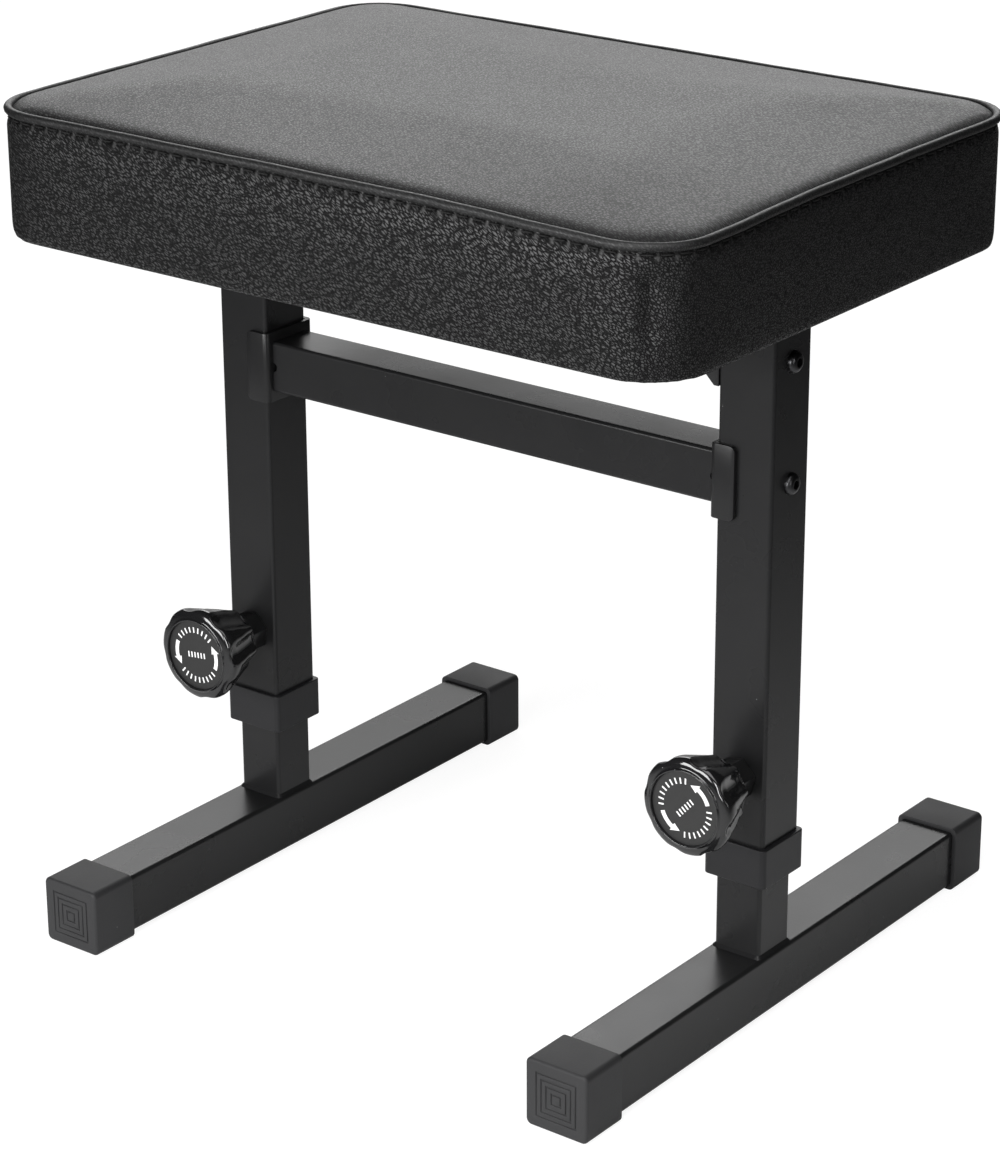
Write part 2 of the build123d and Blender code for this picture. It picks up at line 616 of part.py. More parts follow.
def collect_pieces():
    """Every node's name with its solids in place."""
    cap = make_cap()
    piping = make_piping()
    lock_pieces = {
        "lock_boss": make_lock_boss(),
        "lock_barrel": make_lock_barrel(),
        "spring_retainer": make_spring_retainer(),
        "lock_pin": make_lock_pin(),
        "lock_spring": make_lock_spring(),
        "knob": make_knob(),
        "knob_screw": make_knob_screw(),
        "knob_disc": make_knob_disc(),
    }
    pieces = {
        "crossbar": make_crossbar(),
        "crossbar_bolts": make_post_bolts(CROSSBAR_HEIGHT, SADDLE_THICKNESS),
        "bracket_bolts": make_post_bolts(BRACKET_BOLT_HEIGHT, BRACKET_THICKNESS),
        "frame_nuts": make_nuts(),
        "seat_screws": make_seat_screws(),
        "tee_nuts": make_tee_nuts(),
        "seat_board": make_seat_board(),
        "seat_foam": make_seat_foam(piping),
        "cover_side": make_cover_side(piping),
        "cover_top": make_cover_top(piping),
        "piping": piping,
        "dust_cover": make_dust_cover(),
    }
    for name, side in SIDES.items():
        pieces[f"base_tube_{name}"] = make_base_tube(side)
        pieces[f"front_cap_{name}"] = place_cap(cap, side, -1)
        pieces[f"rear_cap_{name}"] = place_cap(cap, side, 1)
        pieces[f"inner_post_{name}"] = make_inner_post(side)
        pieces[f"guide_bush_{name}"] = make_guide_bush(side)
        pieces[f"outer_post_{name}"] = make_outer_post(side)
        pieces[f"collar_{name}"] = make_collar(side)
        pieces[f"saddle_{name}"] = make_saddle(side)
        pieces[f"seat_bracket_{name}"] = make_seat_bracket(side)
        for lock_name, piece in lock_pieces.items():
            pieces[f"{lock_name}_{name}"] = on_post_front(side) * piece
    return pieces


os.makedirs("parts", exist_ok=True)
for node, shape in collect_pieces().items():
    solids = shape if isinstance(shape, list) else list(shape.solids())
    whole = Compound(children=solids) if len(solids) > 1 else solids[0]
    export_step(whole, f"parts/{node}.step")
    print(node, len(solids), "solids")
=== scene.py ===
# %% [markdown]
# # A keyboard bench, dressed for its portrait
# The bench is a padded seat on two square posts. Each post slides over a thinner one that is welded
# on a floor tube, and a sprung pin with a fluted knob holds it at its height. This lesson starts from
# the finished engineering model, whose solids already stand where they belong, and gives it what such
# a model lacks: a sewn and stuffed seat, moulded knobs, softened steel edges and real finishes.

import json
import math

import bmesh
import bpy
from mathutils import Matrix, Vector


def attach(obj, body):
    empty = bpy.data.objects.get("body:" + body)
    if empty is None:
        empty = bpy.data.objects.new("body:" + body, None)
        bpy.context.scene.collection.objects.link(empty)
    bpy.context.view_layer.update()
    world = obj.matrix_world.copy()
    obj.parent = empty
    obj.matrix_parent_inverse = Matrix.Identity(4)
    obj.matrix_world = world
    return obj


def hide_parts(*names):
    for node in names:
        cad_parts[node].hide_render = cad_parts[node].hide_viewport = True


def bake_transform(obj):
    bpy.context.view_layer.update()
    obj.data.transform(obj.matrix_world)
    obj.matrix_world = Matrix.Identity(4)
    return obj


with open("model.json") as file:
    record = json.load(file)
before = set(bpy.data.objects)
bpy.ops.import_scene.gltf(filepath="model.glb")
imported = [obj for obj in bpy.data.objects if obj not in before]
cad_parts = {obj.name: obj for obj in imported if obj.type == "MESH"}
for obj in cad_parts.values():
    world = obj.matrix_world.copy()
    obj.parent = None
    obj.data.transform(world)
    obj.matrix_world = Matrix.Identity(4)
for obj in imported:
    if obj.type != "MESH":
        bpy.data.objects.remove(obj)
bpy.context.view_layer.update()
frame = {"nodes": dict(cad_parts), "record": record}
nodes = frame["nodes"]
SIDES = {"left": -1, "right": 1}
MM = 0.001

# %% [markdown]
# ## The camera
# A portrait of a product is taken with a long lens from a few steps away, so that upright posts stay
# upright. The numbers below came from matching corners of the tubes with their places in the
# photograph. The camera is put in place by its three directions: right, up and back.

# %% Place the camera
AZIMUTH = math.radians(37.653)
ELEVATION = math.radians(21.54)
ROLL = math.radians(-0.271)
CAMERA_DISTANCE = 1.7425
LENS_MM = 111.25
LOOK_ACROSS = -0.0105
LOOK_HEIGHT = 0.181
ACROSS = Vector((math.cos(AZIMUTH), math.sin(AZIMUTH), 0.0))


def camera_directions():
    """The camera's right, up and back directions."""
    back = Vector((
        math.sin(AZIMUTH) * math.cos(ELEVATION),
        -math.cos(AZIMUTH) * math.cos(ELEVATION),
        math.sin(ELEVATION),
    ))
    upright = back.cross(ACROSS)
    right = ACROSS * math.cos(ROLL) + upright * math.sin(ROLL)
    up = upright * math.cos(ROLL) - ACROSS * math.sin(ROLL)
    return right, up, back


def place_camera():
    right, up, back = camera_directions()
    target = ACROSS * LOOK_ACROSS + Vector((0.0, 0.0, LOOK_HEIGHT))
    bpy.ops.object.camera_add()
    camera = bpy.context.object
    camera.name = "portrait_camera"
    turn = Matrix((right, up, back)).transposed().to_4x4()
    camera.matrix_world = Matrix.Translation(target + back * CAMERA_DISTANCE) @ turn
    camera.data.lens = LENS_MM
    camera.data.dof.use_dof = False
    bpy.context.scene.camera = camera
    return camera


camera = place_camera()
print("camera at", [round(value, 4) for value in camera.matrix_world.translation])

# %% [markdown]
# ## Helpers for shader nodes
# A finish is a small network of nodes. Patterns that several finishes share go into groups, which put
# out heights and masks only. The shader itself stays in each material. The studio's floor and world
# are such networks too, so the helpers come first.

# %% Nodes and groups
def put(tree, kind, **settings):
    node = tree.nodes.new(kind)
    for name, value in settings.items():
        setattr(node, name, value)
    return node


def feed(tree, socket, value):
    """Links a socket to another, or sets it to a plain value."""
    if isinstance(value, bpy.types.NodeSocket):
        tree.links.new(value, socket)
    else:
        socket.default_value = value


def reckon(tree, operation, *values):
    node = put(tree, "ShaderNodeMath", operation=operation)
    for socket, value in zip(node.inputs, values):
        feed(tree, socket, value)
    return node.outputs[0]


def point_math(tree, operation, *values):
    node = put(tree, "ShaderNodeVectorMath", operation=operation)
    for socket, value in zip(node.inputs, values):
        feed(tree, socket, value)
    return node


def spread(tree, value, low, high, to_low=0.0, to_high=1.0):
    """Maps a value from one range to another, and holds it there."""
    node = put(tree, "ShaderNodeMapRange", clamp=True)
    for name, setting in (
        ("Value", value), ("From Min", low), ("From Max", high), ("To Min", to_low), ("To Max", to_high)
    ):
        feed(tree, node.inputs[name], setting)
    return node.outputs["Result"]


def noise(tree, vector, scale, detail=2.0, roughness=0.5):
    node = put(tree, "ShaderNodeTexNoise")
    feed(tree, node.inputs["Vector"], vector)
    feed(tree, node.inputs["Scale"], scale)
    node.inputs["Detail"].default_value = detail
    node.inputs["Roughness"].default_value = roughness
    return node


def new_group(name, inputs, outputs):
    """An empty node group. Inputs are (name, socket kind, default), outputs are names of values."""
    group = bpy.data.node_groups.new(name, "ShaderNodeTree")
    for label, kind, default in inputs:
        socket = group.interface.new_socket(name=label, in_out="INPUT", socket_type=kind)
        if default is not None:
            socket.default_value = default
    for label in outputs:
        group.interface.new_socket(name=label, in_out="OUTPUT", socket_type="NodeSocketFloat")
    return group, put(group, "NodeGroupInput"), put(group, "NodeGroupOutput")


def use_group(tree, group, **values):
    """Places a group in a material. Names of inputs are given with _ for a space."""
    node = put(tree, "ShaderNodeGroup", node_tree=group)
    for name, value in values.items():
        feed(tree, node.inputs[name.replace("_", " ")], value)
    return node


# %% [markdown]
# ## The studio
# Black things are lit by what they reflect. Three wide panels stand behind the bench, one over the
# other and brighter towards the top, and give the seat and the tops of the tubes their grey sheen. A
# panel overhead shapes the crown of the seat, a strong low one in front brings out the grain of the
# seat's front, a narrow one catches the front corner, and a strip at the right lights the right faces.
# The floor is pale: the camera sees it almost white, but it still takes the bench's shadow. The lower faces
# mirror it brightly and the higher ones darkly, because what they mirror is a painted pool of light on the
# paper, which fades out not far away.

# %% Build the floor
FLOOR_SIZE = 14.0
FLOOR_DROP = 0.0004
FLOOR_SHADE = 0.8
FLOOR_GLOW = 1.25
FLOOR_GLOW_SHARE = 0.72
# the painted pool of light on the paper: how far out it is at its brightest, where it ends, and how pale it
# is at both, as shares
PAPER_NEAR = 0.28
PAPER_FAR = 0.95
PAPER_NEAR_SHARE = 1.22
PAPER_FAR_SHARE = 0.3
WHITE = (1.0, 1.0, 1.0, 1.0)


def bare_tree(owner):
    """The emptied node tree of a material or a world."""
    owner.use_nodes = True
    owner.node_tree.nodes.clear()
    return owner.node_tree


def show_mix(tree, output_kind, share, first, second):
    """Shows a mix of two shaders. A share of 0 is all the first, and 1 is all the second."""
    mix = put(tree, "ShaderNodeMixShader")
    feed(tree, mix.inputs["Fac"], share)
    tree.links.new(first.outputs[0], mix.inputs[1])
    tree.links.new(second.outputs[0], mix.inputs[2])
    tree.links.new(mix.outputs[0], put(tree, output_kind).inputs["Surface"])


def painted_paper_light(tree, seen):
    """How pale the floor is: even for the camera, and for what mirrors it a painted pool of light that fades
    with distance.
    """
    place = put(tree, "ShaderNodeTexCoord").outputs["Object"]
    reach = point_math(tree, "LENGTH", place).outputs["Value"]
    share = put(tree, "ShaderNodeMix")
    feed(tree, share.inputs["Factor"], seen)
    # painted light: for what mirrors the floor, it is paler near the bench and darker further out
    fade = spread(tree, reach, PAPER_NEAR, PAPER_FAR, PAPER_NEAR_SHARE, PAPER_FAR_SHARE)
    feed(tree, share.inputs["A"], fade)
    share.inputs["B"].default_value = 1.0
    return reckon(tree, "MULTIPLY", share.outputs["Result"], FLOOR_SHADE)


def make_floor():
    bpy.ops.mesh.primitive_plane_add(size=FLOOR_SIZE, location=(0.0, 0.0, -FLOOR_DROP))
    floor = bpy.context.object
    floor.name = "studio_floor"
    paper = bpy.data.materials.new("pale floor")
    tree = bare_tree(paper)
    seen = put(tree, "ShaderNodeLightPath").outputs["Is Camera Ray"]
    matte = put(tree, "ShaderNodeBsdfDiffuse")
    tree.links.new(painted_paper_light(tree, seen), matte.inputs["Color"])
    glow = put(tree, "ShaderNodeEmission")
    glow.inputs["Color"].default_value = WHITE
    glow.inputs["Strength"].default_value = FLOOR_GLOW
    share = reckon(tree, "MULTIPLY", seen, FLOOR_GLOW_SHARE)
    show_mix(tree, "ShaderNodeOutputMaterial", share, matte, glow)
    floor.data.materials.append(paper)


make_floor()

# %% Fill the room with dim light behind a white background
ROOM_LIGHT = 0.03


def make_world():
    world = bpy.data.worlds.new("studio room")
    bpy.context.scene.world = world
    tree = bare_tree(world)
    seen = put(tree, "ShaderNodeLightPath").outputs["Is Camera Ray"]
    room = put(tree, "ShaderNodeBackground")
    room.inputs["Color"].default_value = WHITE
    room.inputs["Strength"].default_value = ROOM_LIGHT
    backdrop = put(tree, "ShaderNodeBackground")
    backdrop.inputs["Color"].default_value = WHITE
    show_mix(tree, "ShaderNodeOutputWorld", seen, room, backdrop)


make_world()
bpy.context.scene.view_settings.view_transform = "Standard"

# %% Hang the light panels
# each panel's place, the point it aims at, its width and height, and the brightness of its face
PANELS = {
    "overhead": ((0.3, -0.5, 1.0), (0.1, -0.1, 0.0), 0.8, 0.8, 4.0),
    "front_low": ((-0.35, -1.5, 0.54), (0.05, -0.15, 0.37), 0.95, 0.4, 19.0),
    "front_corner": ((0.75, -2.2, 0.6), (0.17, -0.12, 0.38), 0.3, 0.9, 24.0),
    "behind_low": ((-1.7, 2.3, 0.55), (0.0, 0.0, 0.35), 3.0, 0.95, 0.8),
    "behind_middle": ((-1.7, 2.3, 1.36), (0.0, 0.0, 0.4), 3.0, 0.6, 1.6),
    "behind_high": ((-1.7, 2.3, 1.95), (0.0, 0.0, 0.4), 3.0, 0.66, 5.8),
    "right_strip": ((2.2, -0.8, 0.7), (0.15, -0.1, 0.4), 0.4, 1.2, 6.0),
}


def hang_panel(name, place, aim, width, height, brightness):
    """A rectangular lamp whose power gives its face a set brightness."""
    bpy.ops.object.light_add(type="AREA", location=place)
    panel = bpy.context.object
    panel.name = f"panel_{name}"
    panel.data.shape = "RECTANGLE"
    panel.data.size = width
    panel.data.size_y = height
    panel.data.energy = brightness * math.pi * width * height
    direction = Vector(aim) - Vector(place)
    panel.rotation_euler = direction.to_track_quat("-Z", "Y").to_euler()
    panel.visible_camera = False


for panel_name, panel_values in PANELS.items():
    hang_panel(panel_name, *panel_values)
print("light panels", sorted(PANELS))

# %% [markdown]
# ## Helpers for modelling
# Every operator works on what is selected, so each helper first lets go of everything. Faces and edges
# are then picked by asking a question about their place or direction, as a hand would point at them.

# %% Selecting and finishing
def let_go():
    if bpy.context.object and bpy.context.object.mode != "OBJECT":
        bpy.ops.object.mode_set(mode="OBJECT")
    bpy.ops.object.select_all(action="DESELECT")


def take(piece):
    """Makes a piece the only selected and active one."""
    let_go()
    piece.select_set(True)
    bpy.context.view_layer.objects.active = piece


def edit(piece, mode="FACE"):
    take(piece)
    bpy.ops.object.mode_set(mode="EDIT")
    bpy.ops.mesh.select_mode(type=mode)
    bpy.ops.mesh.select_all(action="DESELECT")


def pick_faces(piece, question):
    """Selects the faces for which question(centre, normal) is true."""
    bpy.ops.mesh.select_mode(type="FACE")
    form = bmesh.from_edit_mesh(piece.data)
    form.normal_update()
    for face in form.faces:
        face.select_set(bool(question(face.calc_center_median(), face.normal)))
    form.select_flush_mode()
    bmesh.update_edit_mesh(piece.data)


def pick_points(piece, question):
    """Selects the vertices for which question(place) is true."""
    bpy.ops.mesh.select_mode(type="VERT")
    form = bmesh.from_edit_mesh(piece.data)
    for point in form.verts:
        point.select_set(bool(question(point.co)))
    form.select_flush_mode()
    bmesh.update_edit_mesh(piece.data)


def add_modifier(piece, kind, **settings):
    take(piece)
    bpy.ops.object.modifier_add(type=kind)
    modifier = piece.modifiers[-1]
    for name, value in settings.items():
        setattr(modifier, name, value)
    return modifier


def apply_all(piece):
    take(piece)
    for modifier in list(piece.modifiers):
        bpy.ops.object.modifier_apply(modifier=modifier.name)


def settle(piece):
    """Moves a piece's place, turn and scale into its mesh."""
    take(piece)
    bpy.ops.object.transform_apply(location=True, rotation=True, scale=True)
    return piece


def turn_outwards():
    """Turns all faces of the piece that is being edited outwards, and leaves edit mode."""
    bpy.ops.mesh.select_all(action="SELECT")
    bpy.ops.mesh.normals_make_consistent(inside=False)
    bpy.ops.object.mode_set(mode="OBJECT")


def merge_doubles(piece, distance):
    edit(piece, "VERT")
    bpy.ops.mesh.select_all(action="SELECT")
    bpy.ops.mesh.remove_doubles(threshold=distance)
    turn_outwards()


def duplicate(form):
    """A copy of a piece, with a mesh of its own."""
    copy = form.copy()
    copy.data = form.data.copy()
    bpy.context.collection.objects.link(copy)
    return copy


def join_all(pieces):
    """Joins pieces into the first of them."""
    let_go()
    for piece in pieces:
        piece.select_set(True)
    bpy.context.view_layer.objects.active = pieces[0]
    bpy.ops.object.join()
    return pieces[0]


def draw_line(places):
    """A new piece that is a line through the places, in edit mode with all of it selected."""
    bpy.ops.mesh.primitive_plane_add(size=1.0)
    piece = bpy.context.object
    edit(piece, "VERT")
    bpy.ops.mesh.select_all(action="SELECT")
    bpy.ops.mesh.delete(type="VERT")
    form = bmesh.from_edit_mesh(piece.data)
    line = [form.verts.new(place) for place in places]
    for start, end in zip(line, line[1:]):
        form.edges.new((start, end))
    bmesh.update_edit_mesh(piece.data)
    bpy.ops.mesh.select_all(action="SELECT")
    return piece


def smooth(piece, degrees):
    take(piece)
    bpy.ops.object.shade_smooth_by_angle(angle=math.radians(degrees))


def finish_piece(piece, name, body, material, replaced=()):
    """Names a piece, gives it its finish, and ties it to the body that it moves with, unless it has none."""
    settle(piece)
    piece.name = name
    piece.data.name = name
    piece.data.materials.clear()
    piece.data.materials.append(material)
    if body:
        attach(piece, body)
    if replaced:
        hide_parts(*replaced)
    print(name, len(piece.data.polygons), "faces")


# %% [markdown]
# ## Patterns
# The seat's cloth is embossed with a fine pebble grain that leans to one side, so its cells are drawn
# out along a slanting line. Painted steel has the soft skin of powder coat. Moulded pieces carry a
# very fine spark pattern. A few specks of dust sit on everything.

# %% The pebble grain of the leatherette
GRAIN_LEAN = Vector((0.87, -0.18, -0.48)).normalized()
# sizes and reaches as shares of one pebble, and heights as shares of a pebble's height
WARP_SIZE_SHARE = 0.35
WARP_REACH_SHARE = 0.9
SLOPE_SHARE = 0.45
FINE_SIZE_SHARE = 1.6
FINE_HEIGHT_SHARE = 0.5
LEATHER_SPOTS = 26.0


def make_grain_group():
    group, given, result = new_group(
        "pebble grain",
        [
            ("Vector", "NodeSocketVector", None),
            ("Pebbles per metre", "NodeSocketFloat", 980.0),
            ("Stretch", "NodeSocketFloat", 3.5),
        ],
        ["Height", "Tone"],
    )
    place = given.outputs["Vector"]
    density = given.outputs["Pebbles per metre"]
    along = point_math(group, "DOT_PRODUCT", place, tuple(GRAIN_LEAN))
    pull = reckon(group, "SUBTRACT", reckon(group, "DIVIDE", 1.0, given.outputs["Stretch"]), 1.0)
    amount = reckon(group, "MULTIPLY", along.outputs["Value"], pull)
    shift = point_math(group, "SCALE", tuple(GRAIN_LEAN))
    feed(group, shift.inputs["Scale"], amount)
    drawn = point_math(group, "ADD", place, shift.outputs[0]).outputs[0]
    warp = noise(group, drawn, reckon(group, "MULTIPLY", density, WARP_SIZE_SHARE))
    away = point_math(group, "SUBTRACT", warp.outputs["Color"], (0.5, 0.5, 0.5)).outputs[0]
    push = point_math(group, "SCALE", away)
    feed(group, push.inputs["Scale"], reckon(group, "DIVIDE", WARP_REACH_SHARE, density))
    wavy = point_math(group, "ADD", drawn, push.outputs[0]).outputs[0]
    cells = put(group, "ShaderNodeTexVoronoi", feature="DISTANCE_TO_EDGE")
    feed(group, cells.inputs["Vector"], wavy)
    feed(group, cells.inputs["Scale"], density)
    pebble = spread(group, cells.outputs["Distance"], 0.0, SLOPE_SHARE)
    round_top = reckon(group, "SINE", reckon(group, "MULTIPLY", pebble, math.pi / 2))
    fine = noise(group, wavy, reckon(group, "MULTIPLY", density, FINE_SIZE_SHARE))
    finest = reckon(group, "MULTIPLY", fine.outputs["Fac"], FINE_HEIGHT_SHARE)
    height = reckon(group, "ADD", round_top, finest)
    patches = noise(group, place, LEATHER_SPOTS, detail=3.0)
    group.links.new(height, result.inputs["Height"])
    group.links.new(patches.outputs["Fac"], result.inputs["Tone"])
    return group


GRAIN = make_grain_group()


# %% The puckers along a row of stitches
# a tuft stands between two stitches: the higher the power, the narrower it is
TUFT_POWER = 9.0
TUFT_HEIGHT_SHARE = 1.2


def make_seam_group():
    """Reads a map whose first number counts stitches and whose second is the height in mm over the row."""
    group, given, result = new_group(
        "stitched row",
        [
            ("Map", "NodeSocketVector", None),
            ("Groove width", "NodeSocketFloat", 1.3),
            ("Pucker width", "NodeSocketFloat", 1.1),
            ("Pucker drop", "NodeSocketFloat", 1.3),
        ],
        ["Height", "Shade", "Tuft"],
    )
    parts = put(group, "ShaderNodeSeparateXYZ")
    feed(group, parts.inputs[0], given.outputs["Map"])
    over = parts.outputs["Y"]

    def bell(width, drop=0.0):
        share = reckon(group, "DIVIDE", reckon(group, "ADD", over, drop), width)
        square = reckon(group, "MULTIPLY", share, share)
        return reckon(group, "POWER", math.e, reckon(group, "MULTIPLY", square, -1.0))

    angle = reckon(group, "MULTIPLY", parts.outputs["X"], 2.0 * math.pi)
    swing = reckon(group, "MULTIPLY_ADD", reckon(group, "COSINE", angle), 0.5, 0.5)
    beat = reckon(group, "POWER", swing, TUFT_POWER)
    groove = bell(given.outputs["Groove width"])
    pucker = bell(given.outputs["Pucker width"], given.outputs["Pucker drop"])
    tuft = reckon(group, "MULTIPLY", pucker, beat)
    bump = reckon(group, "MULTIPLY", tuft, TUFT_HEIGHT_SHARE)
    height = reckon(group, "SUBTRACT", bump, groove)
    shade = reckon(group, "MULTIPLY", groove, reckon(group, "SUBTRACT", 1.0, beat))
    group.links.new(height, result.inputs["Height"])
    group.links.new(shade, result.inputs["Shade"])
    group.links.new(tuft, result.inputs["Tuft"])
    return group


SEAM = make_seam_group()


# %% The skin of powder coat and of moulded plastic
FINER_WAVES = 4.0
FINER_HEIGHT_SHARE = 0.3
SKIN_SPOTS = 14.0


def make_skin_group():
    group, given, result = new_group(
        "coated skin",
        [
            ("Vector", "NodeSocketVector", None),
            ("Waves per metre", "NodeSocketFloat", 600.0),
        ],
        ["Height", "Tone"],
    )
    place = given.outputs["Vector"]
    density = given.outputs["Waves per metre"]
    waves = noise(group, place, density)
    finer = noise(group, place, reckon(group, "MULTIPLY", density, FINER_WAVES))
    ripple = reckon(group, "MULTIPLY", finer.outputs["Fac"], FINER_HEIGHT_SHARE)
    height = reckon(group, "ADD", waves.outputs["Fac"], ripple)
    patches = noise(group, place, SKIN_SPOTS, detail=4.0, roughness=0.6)
    group.links.new(height, result.inputs["Height"])
    group.links.new(patches.outputs["Fac"], result.inputs["Tone"])
    return group


def make_speck_group():
    """Sparse round specks of dust, as a mask."""
    group, given, result = new_group(
        "dust specks",
        [
            ("Vector", "NodeSocketVector", None),
            ("Specks per metre", "NodeSocketFloat", 70.0),
            ("Size", "NodeSocketFloat", 0.012),
        ],
        ["Mask"],
    )
    cells = put(group, "ShaderNodeTexVoronoi", feature="F1")
    feed(group, cells.inputs["Vector"], given.outputs["Vector"])
    feed(group, cells.inputs["Scale"], given.outputs["Specks per metre"])
    near = reckon(group, "LESS_THAN", cells.outputs["Distance"], given.outputs["Size"])
    group.links.new(near, result.inputs["Mask"])
    return group


SKIN = make_skin_group()
SPECKS = make_speck_group()
print("node groups", [group.name for group in bpy.data.node_groups])

# %% [markdown]
# ## Finishes
# Each finish is one Principled shader. What varies over the surface comes from the groups; what is the
# same all over, such as the sheen, is set on the shader's own socket.

# %% A material with its shader and its coordinates
def start_material(name, colour, roughness, **constants):
    """Returns the tree, its shader and the piece's own coordinates."""
    material = bpy.data.materials.new(name)
    material.use_nodes = True
    tree = material.node_tree
    shader = tree.nodes["Principled BSDF"]
    shader.inputs["Base Color"].default_value = (*colour, 1.0)
    shader.inputs["Roughness"].default_value = roughness
    for label, value in constants.items():
        shader.inputs[label.replace("_", " ")].default_value = value
    place = put(tree, "ShaderNodeTexCoord").outputs["Object"]
    return material, tree, shader, place


def raise_surface(tree, shader, height, depth, below=None):
    """Adds a bump of a given depth in metres, on top of another one if there is one."""
    bump = put(tree, "ShaderNodeBump")
    bump.inputs["Distance"].default_value = depth
    feed(tree, bump.inputs["Height"], height)
    if below is not None:
        tree.links.new(below, bump.inputs["Normal"])
    tree.links.new(bump.outputs["Normal"], shader.inputs["Normal"])
    return bump.outputs["Normal"]


def tint(tree, shader, mask, dark, light):
    """Mixes two colours by a mask and feeds them to the shader."""
    mix = put(tree, "ShaderNodeMix", data_type="RGBA")
    feed(tree, mix.inputs["Factor"], mask)
    mix.inputs["A"].default_value = (*dark, 1.0)
    mix.inputs["B"].default_value = (*light, 1.0)
    tree.links.new(mix.outputs["Result"], shader.inputs["Base Color"])
    return mix


# %% Leatherette, with and without its row of stitches
# the leather's colour in the creases of the grain is a painted shade, darker than on the crests
LEATHER_CREASE_SHADE = (0.004, 0.004, 0.0041)
LEATHER_LIGHT = (0.013, 0.013, 0.0134)
LEATHER_ROUGHNESS = 0.42
LEATHER_BUMP = 0.42 * MM
# heights of the grain between which its colour, darkened in the creases as painted shade, and its polish
# change, and how rough it is at both
GRAIN_LOW = 0.5
GRAIN_HIGH = 1.3
LOW_ROUGHNESS = 0.52
HIGH_ROUGHNESS = 0.27
# the leather counts as the stretched top between two upward leans of its faces
TOP_START = 0.3
TOP_FULL = 0.9
TIGHT_TOP_SHARE = 0.27
# the glaze lies on the crests of the grain at the sides, and evenly on the stretched top
GLAZE_START = 0.65
GLAZE_FULL = 1.08
GLAZE_CREST = 1.0
GLAZE_TOP = 0.6
SEAM_BUMP = 1.1 * MM
SEAM_SHADE = 0.8
SEAM_MAP = "stitch_map"


def loosen_sides(tree):
    """How loose the leather is: 1 at the sides, and less where it is stretched over the top."""
    facing = put(tree, "ShaderNodeSeparateXYZ")
    feed(tree, facing.inputs[0], put(tree, "ShaderNodeTexCoord").outputs["Normal"])
    return spread(tree, facing.outputs["Z"], TOP_START, TOP_FULL, 1.0, TIGHT_TOP_SHARE)


def glaze_weight(tree, height, loose):
    """The glaze: on the crests where the leather is loose, and even where it is stretched."""
    crests = spread(tree, height, GLAZE_START, GLAZE_FULL, 0.0, GLAZE_CREST)
    even = reckon(tree, "MULTIPLY", reckon(tree, "SUBTRACT", 1.0, loose), GLAZE_TOP)
    return reckon(tree, "ADD", reckon(tree, "MULTIPLY", crests, loose), even)


def make_leatherette(name, stitched, relief_share=1.0):
    material, tree, shader, place = start_material(
        name, LEATHER_LIGHT, LEATHER_ROUGHNESS, Specular_IOR_Level=0.08, Coat_Roughness=0.5
    )
    grain = use_group(tree, GRAIN, Vector=place)
    height = grain.outputs["Height"]
    raised = spread(tree, height, GRAIN_LOW, GRAIN_HIGH)
    # painted shade: the creases of the grain take the darker colour, the crests the lighter one
    mix = tint(tree, shader, raised, LEATHER_CREASE_SHADE, LEATHER_LIGHT)
    worn = spread(tree, grain.outputs["Tone"], 0.3, 0.7, -0.01, 0.02)
    rough = spread(tree, height, GRAIN_LOW, GRAIN_HIGH, LOW_ROUGHNESS, HIGH_ROUGHNESS)
    tree.links.new(reckon(tree, "ADD", rough, worn), shader.inputs["Roughness"])
    looseness = loosen_sides(tree)
    glaze = glaze_weight(tree, height, reckon(tree, "MULTIPLY", looseness, relief_share))
    below = None
    if stitched:
        read = put(tree, "ShaderNodeUVMap", uv_map=SEAM_MAP)
        seam = use_group(tree, SEAM, Map=read.outputs["UV"])
        below = raise_surface(tree, shader, seam.outputs["Height"], SEAM_BUMP)
        # painted shade: the groove of the stitch row darkens the colour between the tufts
        shade = reckon(tree, "MULTIPLY_ADD", seam.outputs["Shade"], -SEAM_SHADE, 1.0)
        feed(tree, mix.inputs["Factor"], reckon(tree, "MULTIPLY", raised, shade))
        glaze = reckon(tree, "MULTIPLY_ADD", glaze, shade, seam.outputs["Tuft"])
    tree.links.new(reckon(tree, "MINIMUM", glaze, 1.0), shader.inputs["Coat Weight"])
    relief = reckon(tree, "MULTIPLY", height, looseness)
    raise_surface(tree, shader, relief, LEATHER_BUMP * relief_share, below)
    return material


# %% Painted steel
PAINT_DARK = (0.008, 0.008, 0.0084)
PAINT_LIGHT = (0.013, 0.013, 0.0134)
DUST_COLOUR = (0.35, 0.35, 0.36)


def make_coated(name, dark, light, smoothest, roughest, waves, depth, **constants):
    """A coated or moulded finish: mottled a little, with a fine skin and a few specks of dust."""
    material, tree, shader, place = start_material(name, light, roughest, **constants)
    skin = use_group(tree, SKIN, Vector=place, Waves_per_metre=waves)
    mix = tint(tree, shader, skin.outputs["Tone"], dark, light)
    specks = use_group(tree, SPECKS, Vector=place)
    dusty = put(tree, "ShaderNodeMix", data_type="RGBA")
    tree.links.new(specks.outputs["Mask"], dusty.inputs["Factor"])
    tree.links.new(mix.outputs["Result"], dusty.inputs["A"])
    dusty.inputs["B"].default_value = (*DUST_COLOUR, 1.0)
    tree.links.new(dusty.outputs["Result"], shader.inputs["Base Color"])
    rough = spread(tree, skin.outputs["Tone"], 0.3, 0.7, smoothest, roughest)
    tree.links.new(rough, shader.inputs["Roughness"])
    raise_surface(tree, shader, skin.outputs["Height"], depth)
    return material


